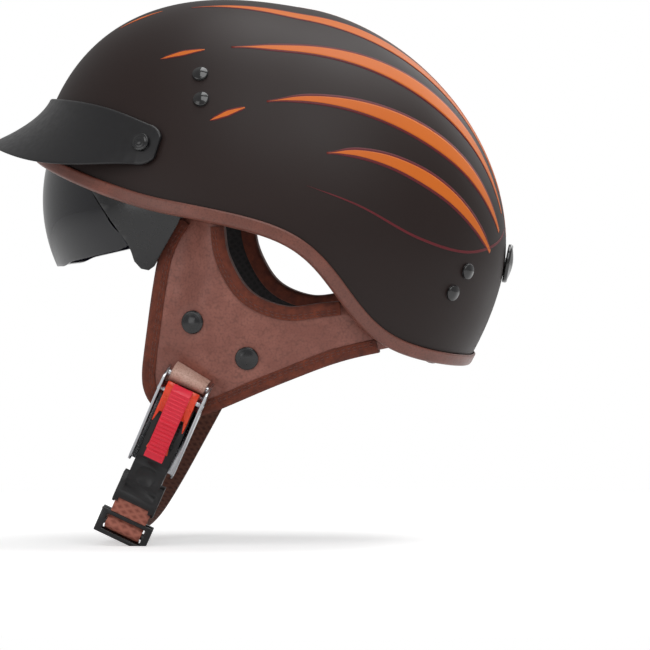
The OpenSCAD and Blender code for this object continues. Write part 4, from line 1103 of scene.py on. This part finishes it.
    def bindings(self, side: Side, notch: np.ndarray, outer: np.ndarray) -> None:
        """Suede tape folded round both outlines, with two rows of stitches near its inner edge."""
        total = self.thick + self.web_gap + self.lining + 0.2
        c, b, w = 0.3, self.bind_t, self.bind_w
        sec = np.array([[w, c], [w + 0.3, c + b * 0.5], [w - 0.3, c + b], [w * 0.6, c + b * 1.05], [0.8, c + b * 1.1],
                        [-c * 0.6 - b * 0.8, c * 0.2 + b * 0.3], [-c - b, -1.2], [-c - b, 1.4 - total],
                        [-c - b * 0.6, -total - c * 0.4], [0.8, -total - c - b], [w, -total - c - b],
                        [w + 0.2, -total - c - b * 0.4], [w, -total - c], [0, -total - c], [-c, -total + 0.6],
                        [-c, -0.6], [0, c]])
        sec = catmull(np.vstack([sec, sec[:1]]), 57)[:-1]
        ends = slice(int(self.rows * 0.012), int(self.rows * 0.965))
        rings = []
        for word, p, q in (("notch", notch, outer), ("outer", outer, notch)):
            run, to = p[ends], unit(q - p)[ends]
            t = along(run)
            n = np.stack([-t[:, 1], t[:, 0]], -1)
            n *= np.sign((n * to).sum(-1, keepdims=True))
            yz = run[:, None] + n[:, None] * sec[None, :, :1]
            lumps = 0.16 * ripple(np.concatenate([yz, np.zeros(yz.shape[:-1] + (1,))], -1), 3, 7)
            ring = self.place(yz[..., 0], yz[..., 1], -(sec[None, :, 1] + lumps * (sec[None, :, 1] > c)))
            s = np.concatenate([[0], np.cumsum(np.linalg.norm(np.diff(run, axis=0), axis=1))])
            uv = np.stack(np.broadcast_arrays(s[:, None], np.arange(len(sec))[None] * 0.7), -1)
            tape = Mesher.outward(Mesher.swept(f"{word}_binding_{side.word}", Mesher.mirrored(ring, side), uv,
                                               closed_path=False))
            Kit.dress(tape, "rust_binding_suede", Body.HELMET)
            rings.append(tape)
            for k, deep in enumerate((w - 1.4, w - 3.0)):
                self.stitches(f"{word}_stitches_{k}_{side.word}", run + n * deep, side, c + b + 0.08)
        for tape in rings[:1]:
            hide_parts(f"ear_binding_{side.word}")

    def stitches(self, name: str, line: np.ndarray, side: Side, high: float, pitch: float = 3.1) -> None:
        """One row of short thread loops: ellipsoids c + l cos(u) t + r sin(u) (cos(v) n + sin(v) b)."""
        long = np.linalg.norm(np.diff(line, axis=0), axis=1).sum()
        yz = even(line, max(3, int(long / pitch)))[1:-1]
        c = self.place(yz[:, 0], yz[:, 1], -high)
        t = along(c)
        n = unit(np.array([1.0, 0, 0]) - t * t[:, :1])
        b = np.cross(t, n)
        u = np.linspace(0.15, np.pi - 0.15, 6)[:, None]
        v = np.linspace(0, 2 * np.pi, 8, endpoint=False)[None]
        body = (np.cos(u) * 1.15 + v * 0, np.sin(u) * np.cos(v) * 0.34, np.sin(u) * np.sin(v) * 0.34)
        p = c[:, None, None] + sum(f[None, ..., None] * d[:, None, None] for f, d in zip(body, (t, n, b)))
        p = Mesher.mirrored(p, side)
        m = len(p)
        quads = (Mesher.quads(6, 8, False, True)[None] + np.arange(m)[:, None, None] * 48).reshape(-1, 4)
        lids = (np.arange(m)[:, None, None] * 48 + np.array([[0], [40]]) + np.arange(8)).reshape(-1, 8)
        obj = Mesher.build(name, p.reshape(-1, 3), [quads, lids])
        Kit.dress(Mesher.outward(obj), "binding_thread", Body.HELMET)

    def snap_caps(self, side: Side) -> None:
        """Low domed caps with a rolled rim."""
        for k, (y, z) in enumerate(self.caps):
            y0, z0 = np.array(float(y)), np.array(float(z))
            n = unit(np.array([1.0, float(self.x(y0 - 2, z0) - self.x(y0 + 2, z0)) / 4,
                               float(self.x(y0, z0 - 2) - self.x(y0, z0 + 2)) / 4]))
            at = self.place(y0, z0, 0.15)
            cap = lathe(f"cover_snap_{k}_{side.word}", button_profile(self.cap_r, 2.5, 0.12),
                        Mesher.mirrored(at, side), Mesher.mirrored(n, side), 64)
            Kit.dress(cap, "gloss_black_acetal", Body.HELMET)


# ---------------------------------------------------------------- webbing and straps
@dataclass
class Buckle:
    """Place of the ratchet buckle: its frame stands on the cover, leaning forward and inwards."""

    lean: float = 14.6
    tilt: float = 17.0

    @property
    def top(self) -> np.ndarray:
        """Point at the frame's top bar."""
        return np.array([float(EarCovers.x(np.array(-21.0), np.array(-90.0))) + 3.5, -22.5, -91.0])

    @property
    def turn(self) -> np.ndarray:
        """Rotation from the buckle's axes to the helmet's: tilt about Y, then lean about X."""
        a, b = math.radians(-self.lean), math.radians(self.tilt)
        rx = np.array([[1, 0, 0], [0, math.cos(a), -math.sin(a)], [0, math.sin(a), math.cos(a)]])
        ry = np.array([[math.cos(b), 0, math.sin(b)], [0, 1, 0], [-math.sin(b), 0, math.cos(b)]])
        return rx @ ry

    def out(self, p: np.ndarray) -> np.ndarray:
        """Points of the buckle's axes in the helmet's."""
        return self.top + np.asarray(p, float) @ self.turn.T

    def way(self, v: np.ndarray) -> np.ndarray:
        """Directions of the buckle's axes in the helmet's."""
        return np.asarray(v, float) @ self.turn.T


BUCKLE = Buckle()


@dataclass
class Straps:
    """The Y webbing under the shell, the strap at the buckle and the chin strap."""

    web_w: float = 14.0
    strap_w: float = 22.0
    strap_t: float = 1.5

    def build(self) -> None:
        """Makes every flat strap."""
        for side in Side:
            self.webbing(side)
        self.buckle_strap()
        self.loop()
        self.slider_strap()
        self.chin()

    def web_x(self, y: np.ndarray, z: np.ndarray) -> np.ndarray:
        """Half width of the webbing: behind the cover below the edge, inside the shell above it."""
        rim = DOME.rim_z(y)
        s = smooth(-0.5, 8, z - rim)
        inside = DOME.side(y, np.maximum(z, rim), DOME.wall + 2.25)[..., 0]
        return (EarCovers.x(y, z) - 6.8) * (1 - s) + inside * s

    def webbing(self, side: Side) -> None:
        """Front and rear legs of the Y as one band of cloth each."""
        legs = {"front": [(-50, 88), (-44, 66), (-36, 36), (-28, 12), (-27.5, 0), (-27.5, -30), (-25, -68)],
                "rear": [(125, 2), (118, -9), (96, -24), (78, -36), (68, -46), (40, -55), (0, -62)]}
        for word, line in legs.items():
            yz = catmull(np.array(line, float), 90)
            t = along(yz)
            n = np.stack([-t[:, 1], t[:, 0]], -1)
            across = np.linspace(-1, 1, 9)
            q = yz[:, None] + n[:, None] * across[None, :, None] * self.web_w / 2
            thin = 0.68 * (1 - 0.5 * across**8)
            x = self.web_x(q[..., 0], q[..., 1])
            outer = np.concatenate([(x + thin)[..., None], q], -1)
            inner = np.concatenate([(x - thin)[..., None], q], -1)
            s = np.arange(90) * 1.7
            uv = np.stack(np.broadcast_arrays(s[:, None], across[None] * self.web_w / 2), -1)
            obj = Mesher.outward(Mesher.slab(f"{word}_web_{side.word}", Mesher.mirrored(outer, side),
                                             Mesher.mirrored(inner, side), uv))
            Kit.dress(obj, "black_webbing", Body.HELMET)
            if word == "front":
                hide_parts(f"webbing_{side.word}")

    def buckle_strap(self) -> None:
        """Pale strap that comes out of the slit and goes round the frame's bar."""
        path = catmull(np.array([(-11.7, 15), (-11.6, 10), (-11.2, 6), (-9.7, 3.5), (-7, 2.9), (-4, 3.4), (-1, 3.7),
                                 (1.2, 3.65), (3, 3.35), (5.3, 2.4), (6.3, 0), (5.3, -2.35), (3, -3.35)], float), 90)
        p = np.stack([path[:, 0], np.zeros(90), path[:, 1]], -1)
        f = np.linspace(0, 1, 90)[:, None]
        wide = np.array([0, 0.98, -0.2]) * (1 - f) + np.array([0, 1.0, 0.05]) * f
        obj = bar_along("buckle_strap", BUCKLE.out(p), BUCKLE.way(wide), section_lens(self.strap_w, self.strap_t, 28, 8))
        Kit.dress(obj, "strap_split_leather", Body.HELMET)
        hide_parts("strap_left")

    def loop(self) -> None:
        """Loop of strap from the slider round the tongue's bar."""
        x, z, r, end = 3.4, -79.5, 2.4, -92.1
        a = np.radians(np.linspace(0, 180, 15))
        path = np.vstack([[(x + r - 0.2, end), (x + r, z - 4)], np.stack([x + r * np.cos(a), z + r * np.sin(a)], -1),
                          [(x - r, z - 4), (x - r + 0.2, end)]])
        path = even(path, 70)
        p = BUCKLE.out(np.stack([path[:, 0], np.zeros(70), path[:, 1]], -1))
        obj = bar_along("tongue_strap_loop", p, BUCKLE.way([0, 1.0, 0]), section_lens(self.strap_w, self.strap_t, 28, 8))
        # The lighter copy of the brown strap webbing here is painted light.
        Kit.dress(obj, "rosy_strap_webbing", Body.TONGUE)
        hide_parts("tongue_loop")

    def slider_strap(self) -> None:
        """End of the strap woven through the slider, over its middle bar."""
        path = even(catmull(np.array([(0.2, -92.0), (0.4, -95.0), (3.4, -97.2), (6.3, -100.4), (3.4, -103.6),
                                      (0.4, -106.0), (0.2, -109.5)], float), 80), 60)
        p = BUCKLE.out(np.stack([path[:, 0], np.zeros(60), path[:, 1]], -1))
        obj = bar_along("slider_strap", p, BUCKLE.way([0, 1.0, 0]), section_lens(self.strap_w, self.strap_t, 28, 8))
        # The lighter copy of the brown strap webbing here is painted light.
        Kit.dress(obj, "rosy_strap_webbing", Body.TONGUE)

    def chin(self) -> None:
        """Strap from the right cover's slit, under the chin, to the slider."""
        x = lambda y, z: -float(EarCovers.x(np.array(float(y)), np.array(float(z))))
        line = np.array([(x(-19, -73) + 6.9, -18.5, -73), (x(-19.5, -81) + 6.9, -19.2, -81), (-90.3, -20, -84.6),
                         (-91.6, -20.5, -86.9), (-94.5, -20.8, -87), (-97.5, -21.2, -87.9),
                         (x(-20, -87) - 2, -21.7, -91.5), (x(-24, -104) - 2.8, -24, -104),
                         (x(-28, -116) - 2.6, -28, -117), (-76, -34, -138), (-52, -40, -160), (-24, -45.5, -178),
                         (6, -49.5, -186), (34, -51.5, -186), (54, -52, -180.5), (63.5, -51.5, -176.5)])
        path = even(catmull(line, 260), 170)
        f = np.linspace(0, 1, 170)[:, None]
        wide = np.array([0, 0.906, -0.424]) * (1 - f) + np.array([0.02, 1.0, 0]) * f
        obj = bar_along("chin_strap_web", path, wide, section_lens(self.strap_w, self.strap_t, 28, 8))
        Kit.dress(obj, "brown_strap_webbing")
        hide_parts("chin_strap")
        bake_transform(obj, "helmet", "tongue", (-0.076, -0.034, -0.138), (0.054, -0.052, -0.1805))


# ---------------------------------------------------------------- sun lens
@dataclass
class SunLens:
    """Smoked drop-down lens on its two arms.

    It is part of a surface of revolution about the pivot: |x/w|^1.9 + |r/reach|^1.9 = 1.
    """

    half_w: float = 105.0
    reach: float = 94.2
    thick: float = 2.0
    pivot: tuple[float, float] = (-44.0, 8.0)

    def build(self) -> None:
        """Makes the lens and dresses its arms, brackets and screws."""
        self.glass()
        for side in Side:
            for node, finish, body in (("lens_arm", "gloss_black_acetal", Body.LENS),
                                       ("lens_bracket", "moulded_black_nylon", Body.HELMET),
                                       ("lens_screw", "zinc_plated_screw", Body.HELMET)):
                Rigid.copy(f"{node}_{side.word}", finish, body)

    def skin(self, x: np.ndarray, phi: np.ndarray, inset: float) -> np.ndarray:
        """Point at half width x and angle phi above the front, inset inside the outer face."""
        r = (self.reach - inset) * np.maximum(0, 1 - (np.abs(x) / (self.half_w - inset)) ** 1.9) ** (1 / 1.9)
        return np.stack(np.broadcast_arrays(x, self.pivot[0] - r * np.cos(phi), self.pivot[1] + r * np.sin(phi)), -1)

    def glass(self) -> None:
        """The lens between its lower edge, its upper edge and the front edges of the arms."""
        share = np.linspace(-1, 1, 181)
        x = 94.6 * np.sign(share) * np.abs(share) ** 0.85
        phi = np.radians(np.linspace(-60, 34, 1200))
        p = self.skin(x[None], phi[:, None], 0.0)
        y, z = p[..., 1], p[..., 2]
        low = np.interp(y, [-150, -122.5, -112, -108, -66, -60], [-58.6, -46.6, -43.6, -40, -21.3, -10])
        high = np.interp(y, [-150, -72], [34.5, 15.5])
        arm = np.interp(z, [-22, -9, 5, 24], [-72.4, -86.4, -100.9, -104.4])
        keep = (z > low) & (z < high) & (y < arm)
        first = keep.argmax(0)
        last = len(phi) - 1 - keep[::-1].argmax(0)
        good = keep.any(0) & (last > first + 6)
        x, lo, hi = x[good], phi[first[good]], phi[last[good]]
        ease = lambda v: np.convolve(np.pad(v, 3, mode="edge"), np.ones(7) / 7, "valid")
        v = np.linspace(0, 1, 41)
        f = ease(lo)[None] * (1 - v[:, None]) + ease(hi)[None] * v[:, None]
        uv = np.stack(np.broadcast_arrays(x[None], f * 90), -1)
        lens = Mesher.outward(Mesher.slab("sun_visor_lens", self.skin(x[None], f, 0.0),
                                          self.skin(x[None] * (self.half_w - 2) / self.half_w, f, self.thick), uv))
        Mesher.modified(lens, "BEVEL", width=0.5 * MM, segments=2, limit_method="ANGLE", angle_limit=0.9)
        Kit.dress(lens, "smoked_polycarbonate", Body.LENS)
        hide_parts("sun_lens")


# ---------------------------------------------------------------- peak
@dataclass
class Peak:
    """Short peak over the brow on its two posts."""

    thick: float = 2.5
    reach: float = 25.0
    end_a: float = -30.3
    post: tuple[float, float] = (-72.0, 36.0)
    columns: int = 150

    def outline(self, y: np.ndarray, q: np.ndarray, top: bool) -> np.ndarray:
        """Height of the upper or lower edge, closing in a half round behind the post."""
        far = np.where(y < self.post[0], 1, np.sqrt(np.maximum(0.01, 1 - ((y - self.post[0]) / 11) ** 2)))
        z = 47 + 3 * q + 3.5 * np.sin(np.pi * q) if top else 25 - 5.7 * q - 6 * np.sin(np.pi * q**1.3)
        return self.post[1] + (z - self.post[1]) * far

    def at(self, s: np.ndarray, w: np.ndarray, k: np.ndarray | float) -> np.ndarray:
        """Point at share s along, w from the upper edge down, k inside the outer face."""
        a = np.radians(-90 + (90 + self.end_a) * np.cos(np.pi * s))
        y0 = DOME.plan(a, 0.0) * np.sin(a) * 0.975
        q = np.clip((self.post[0] - y0) / (DOME.front - 3 + self.post[0]), 0, 1)
        z = self.outline(y0, q, True) * (1 - w) + self.outline(y0, q, False) * w
        lo, hi = np.full(z.shape, np.radians(30)), np.full(z.shape, np.radians(120))
        a = np.broadcast_to(a, z.shape)
        for _ in range(26):
            m = (lo + hi) / 2
            above = DOME.point(a, m)[..., 2] > z
            lo, hi = np.where(above, m, lo), np.where(above, hi, m)
        gap = 0.7 + (1 - smooth(0, 0.35, q))
        flare = (self.reach + 1) * np.clip(w, 0, 2) ** 1.8 * q**0.8
        out = np.stack([np.cos(a), np.sin(a), np.zeros(a.shape)], -1)
        return DOME.point(a, (lo + hi) / 2) + out * (gap + self.thick - k + flare)[..., None]

    def build(self) -> None:
        """Carries the peak's section, with round edges, from one post to the other."""
        s = np.linspace(0.004, 0.996, self.columns)[:, None]
        w = np.linspace(0, 1, 30)
        r = self.thick / 2
        arc = np.linspace(-np.pi / 2, np.pi / 2, 9)[1:-1]
        share = np.concatenate([w, np.ones(7), w[::-1], np.zeros(7)])[None]
        deep = np.concatenate([w * 0, r + r * np.sin(arc), w * 0 + 2 * r, r - r * np.sin(arc)])[None]
        past = np.concatenate([w * 0, 0.9 * r * np.cos(arc), w * 0, -0.9 * r * np.cos(arc)])[None, :, None]
        p = self.at(s, share, deep)
        down = unit(self.at(s, np.clip(share + 0.04, 0, 1), deep) - self.at(s, np.clip(share - 0.04, 0, 1), deep))
        p = p + down * past
        uv = np.stack(np.broadcast_arrays(s * 300, share * 40), -1)
        peak = Mesher.outward(Mesher.grid("visor_peak", p, uv, wrap_cols=True, tips=True))
        Kit.dress(peak, "moulded_black_nylon", Body.PEAK)
        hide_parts("peak")
        at = DOME.side(np.array(self.post[0]), np.array(self.post[1]))
        n = DOME.normal(at)
        for side in Side:
            cap = lathe(f"peak_snap_{side.word}", button_profile(5.2, 3.4, 0.25, 0.5),
                        Mesher.mirrored(at + n * 4.3, side), Mesher.mirrored(n, side), 64)
            Kit.dress(cap, "gloss_black_acetal", Body.PEAK)
            if side is Side.LEFT:
                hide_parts("peak_caps")
        Rigid.copy("peak_studs", "moulded_black_nylon", Body.HELMET)


# ---------------------------------------------------------------- rigid parts
class Rigid:
    """CAD solids shown with merged corners, soft bevels and smooth round faces."""

    @staticmethod
    def copy(node: str, finish: str, body: Body, bevel: float = 0.25) -> bpy.types.Object:
        """Makes a bevelled copy of a CAD node that stands for it.

        Args:
            node: The CAD node.
            finish: Name of its finish.
            body: Body that carries it.
            bevel: Width of the bevel in millimetres, or 0.

        Returns:
            The copy.
        """
        import bmesh
        mesh = bpy.data.meshes.new(node + "_shown")
        b = bmesh.new()
        b.from_mesh(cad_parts[node].data)
        bmesh.ops.remove_doubles(b, verts=b.verts, dist=2e-6)
        bmesh.ops.dissolve_limit(b, angle_limit=0.01, verts=b.verts, edges=b.edges)
        bmesh.ops.recalc_face_normals(b, faces=b.faces)
        b.to_mesh(mesh)
        b.free()
        for key in list(mesh.attributes.keys()):
            if key in ("custom_normal", "sharp_face"):
                mesh.attributes.remove(mesh.attributes[key])
        mesh.polygons.foreach_set("use_smooth", np.ones(len(mesh.polygons), bool))
        obj = bpy.data.objects.new(node + "_shown", mesh)
        bpy.context.scene.collection.objects.link(obj)
        if bevel:
            Mesher.modified(obj, "BEVEL", width=bevel * MM, segments=2, limit_method="ANGLE", angle_limit=0.6,
                            use_clamp_overlap=True, harden_normals=True)
        obj.data.set_sharp_from_angle(angle=math.radians(38))
        Kit.dress(obj, finish, body)
        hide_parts(node)
        return obj

    @classmethod
    def build(cls) -> None:
        """Dresses the buckle, its lever, the tongue, the slider, and the shanks under the domed heads."""
        for node, finish, body, bevel in (
                ("buckle_frame", "chromed_buckle_steel", Body.HELMET, 0.2),
                ("lever_pin", "chromed_buckle_steel", Body.HELMET, 0.2),
                ("release_lever", "orange_lever_acetal", Body.LEVER, 0.4),
                ("lever_grip", "red_grip_acetal", Body.LEVER, 0.0),
                ("ratchet_tongue", "moulded_black_nylon", Body.TONGUE, 0.3),
                ("strap_slider", "gloss_black_acetal", Body.TONGUE, 0.6),
                ("front_rivets", "gloss_black_enamel", Body.HELMET, 0.0),
                ("rear_rivets", "gloss_black_enamel", Body.HELMET, 0.0),
                ("rear_button", "gloss_black_enamel", Body.HELMET, 0.0),
                ("cover_caps_left", "gloss_black_acetal", Body.HELMET, 0.0),
                ("cover_caps_right", "gloss_black_acetal", Body.HELMET, 0.0)):
            cls.copy(node, finish, body, bevel)
        Kit.dress(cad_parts["lever_spring"], "zinc_plated_screw")
        log.info("rigid parts done")


# ---------------------------------------------------------------- studio
@dataclass
class Studio:
    """White floor and backdrop, soft lamps and a long lens from the wearer's left."""

    azimuth: float = 93.5
    elevation: float = 3.0
    roll: float = 10.5
    distance: float = 2.4
    width: float = 0.386
    target: tuple[float, float, float] = (0.0, 0.0418, -0.0513)
    floor_drop: float = 0.128

    def axes(self) -> tuple[np.ndarray, np.ndarray, np.ndarray]:
        """Right, up and back of the camera, turned about its own line of sight."""
        a, e, r = (math.radians(v) for v in (self.azimuth, self.elevation, self.roll))
        back = np.array([math.sin(a) * math.cos(e), -math.cos(a) * math.cos(e), math.sin(e)])
        right = unit(np.cross([0, 0, 1.0], back))
        up = np.cross(back, right)
        return right * math.cos(r) + up * math.sin(r), up * math.cos(r) - right * math.sin(r), back

    def build(self) -> None:
        """Makes the camera, the floor, the world and the lamps."""
        right, up, back = self.axes()
        target = np.array(self.target)
        from mathutils import Matrix
        data = bpy.data.cameras.new("camera")
        data.sensor_width = 36.0
        data.lens = 36.0 * self.distance / self.width
        data.clip_start, data.clip_end = 0.05, 50.0
        camera = bpy.data.objects.new("camera", data)
        eye = target + back * self.distance
        m = Matrix.Identity(4)
        for row in range(3):
            m[row][0], m[row][1], m[row][2], m[row][3] = right[row], up[row], back[row], eye[row]
        camera.matrix_world = m
        bpy.context.scene.collection.objects.link(camera)
        bpy.context.scene.camera = camera
        bpy.context.scene.view_settings.view_transform = "Standard"
        self.floor(target - up * self.floor_drop, up)
        self.world()
        self.lamps(right, up, back, target)

    def floor(self, at: np.ndarray, up: np.ndarray) -> None:
        """Round floor square to the camera's up, seen as white where no shadow falls."""
        a = np.linspace(0, 2 * np.pi, 96, endpoint=False)
        x = unit(np.cross(up, [0.3, 1.0, 0.2]))
        y = np.cross(up, x)
        ring = at + 2.4 * (np.cos(a)[:, None] * x + np.sin(a)[:, None] * y)
        points = np.vstack([ring, at]) / MM
        k = np.arange(96)
        tris = np.stack([k, (k + 1) % 96, np.full(96, 96)], -1)
        obj = Mesher.build("studio_floor", points, [tris])
        mat = bpy.data.materials.new("matt_white_sweep")
        mat.use_nodes = True
        tree = mat.node_tree
        shader = tree.nodes["Principled BSDF"]
        shader.inputs["Base Color"].default_value = (0.9, 0.9, 0.9, 1)
        shader.inputs["Roughness"].default_value = 1.0
        shader.inputs["Specular IOR Level"].default_value = 0.0
        shader.inputs["Emission Color"].default_value = (1, 1, 1, 1)
        ray = add_node(tree, "ShaderNodeLightPath")
        geo = add_node(tree, "ShaderNodeNewGeometry")
        add = add_node(tree, "ShaderNodeMath", {"operation": "ADD", "use_clamp": True},
                       {0: ray.outputs["Is Camera Ray"], 1: ray.outputs["Is Transmission Ray"]})
        glow = add_node(tree, "ShaderNodeMath", {"operation": "MULTIPLY", 1: 0.42}, {0: add.outputs[0]})
        tree.links.new(glow.outputs[0], shader.inputs["Emission Strength"])
        away = add_node(tree, "ShaderNodeVectorMath", {"operation": "DISTANCE", 1: at.tolist()},
                        {0: add_node(tree, "ShaderNodeTexCoord").outputs["Object"]})
        fade = add_node(tree, "ShaderNodeMapRange", {"From Min": 0.3, "From Max": 0.75}, {"Value": away.outputs["Value"]})
        bare = add_node(tree, "ShaderNodeMath", {"operation": "MULTIPLY"}, {0: fade.outputs[0], 1: add.outputs[0]})
        white = add_node(tree, "ShaderNodeEmission", {"Color": (1, 1, 1, 1), "Strength": 1.0})
        seen = add_node(tree, "ShaderNodeMixShader", {}, {0: bare.outputs[0], 1: shader.outputs[0],
                                                         2: white.outputs[0]})
        clear = add_node(tree, "ShaderNodeBsdfTransparent")
        mix = add_node(tree, "ShaderNodeMixShader", {}, {0: geo.outputs["Backfacing"], 1: seen.outputs[0],
                                                        2: clear.outputs[0]})
        tree.links.new(mix.outputs[0], tree.nodes["Material Output"].inputs["Surface"])
        obj.data.materials.append(mat)

    def world(self) -> None:
        """Even grey light, seen as white by the camera and through clear pieces."""
        world = bpy.data.worlds.new("studio_world")
        bpy.context.scene.world = world
        world.use_nodes = True
        tree = world.node_tree
        ray = add_node(tree, "ShaderNodeLightPath")
        seen = add_node(tree, "ShaderNodeMath", {"operation": "ADD", "use_clamp": True},
                        {0: ray.outputs["Is Camera Ray"], 1: ray.outputs["Is Transmission Ray"]})
        strength = add_node(tree, "ShaderNodeMapRange", {"To Min": 0.42, "To Max": 1.0}, {"Value": seen.outputs[0]})
        back = tree.nodes["Background"]
        back.inputs[0].default_value = (1, 1, 1, 1)
        tree.links.new(strength.outputs[0], back.inputs[1])

    def lamps(self, right: np.ndarray, up: np.ndarray, back: np.ndarray, target: np.ndarray) -> None:
        """Large soft key above the camera, a fill at the front and a strip behind."""
        from mathutils import Vector
        for name, way, size, power in (("key", back * 1.1 + up * 1.2 + right * 0.25, 1.1, 9.0),
                                       ("fill", back * 1.3 - right * 1.3 + up * 0.2, 1.0, 4.0),
                                       ("top", up * 1.6 - back * 0.3 + right * 0.4, 1.2, 12.0),
                                       ("rear", -back * 1.2 + up * 0.9 + right * 0.9, 0.9, 5.0)):
            lamp = bpy.data.lights.new(name, "AREA")
            lamp.energy, lamp.size = power, size
            obj = bpy.data.objects.new(name, lamp)
            place = target + way
            obj.location = Vector(place.tolist())
            obj.rotation_euler = Vector((target - place).tolist()).to_track_quat("-Z", "Y").to_euler()
            bpy.context.scene.collection.objects.link(obj)


def main() -> None:
    """Builds the studio and every sub-assembly in order."""
    logging.basicConfig(level=logging.INFO, format="%(message)s")
    Studio().build()
    for part in (Shell(), EdgeTrim(), Interior(), EarCovers(), Straps(), SunLens(), Peak(), Rigid):
        part.build()
        log.info("%s built", getattr(part, "__name__", type(part).__name__))


if __name__ == "__main__":
    main()
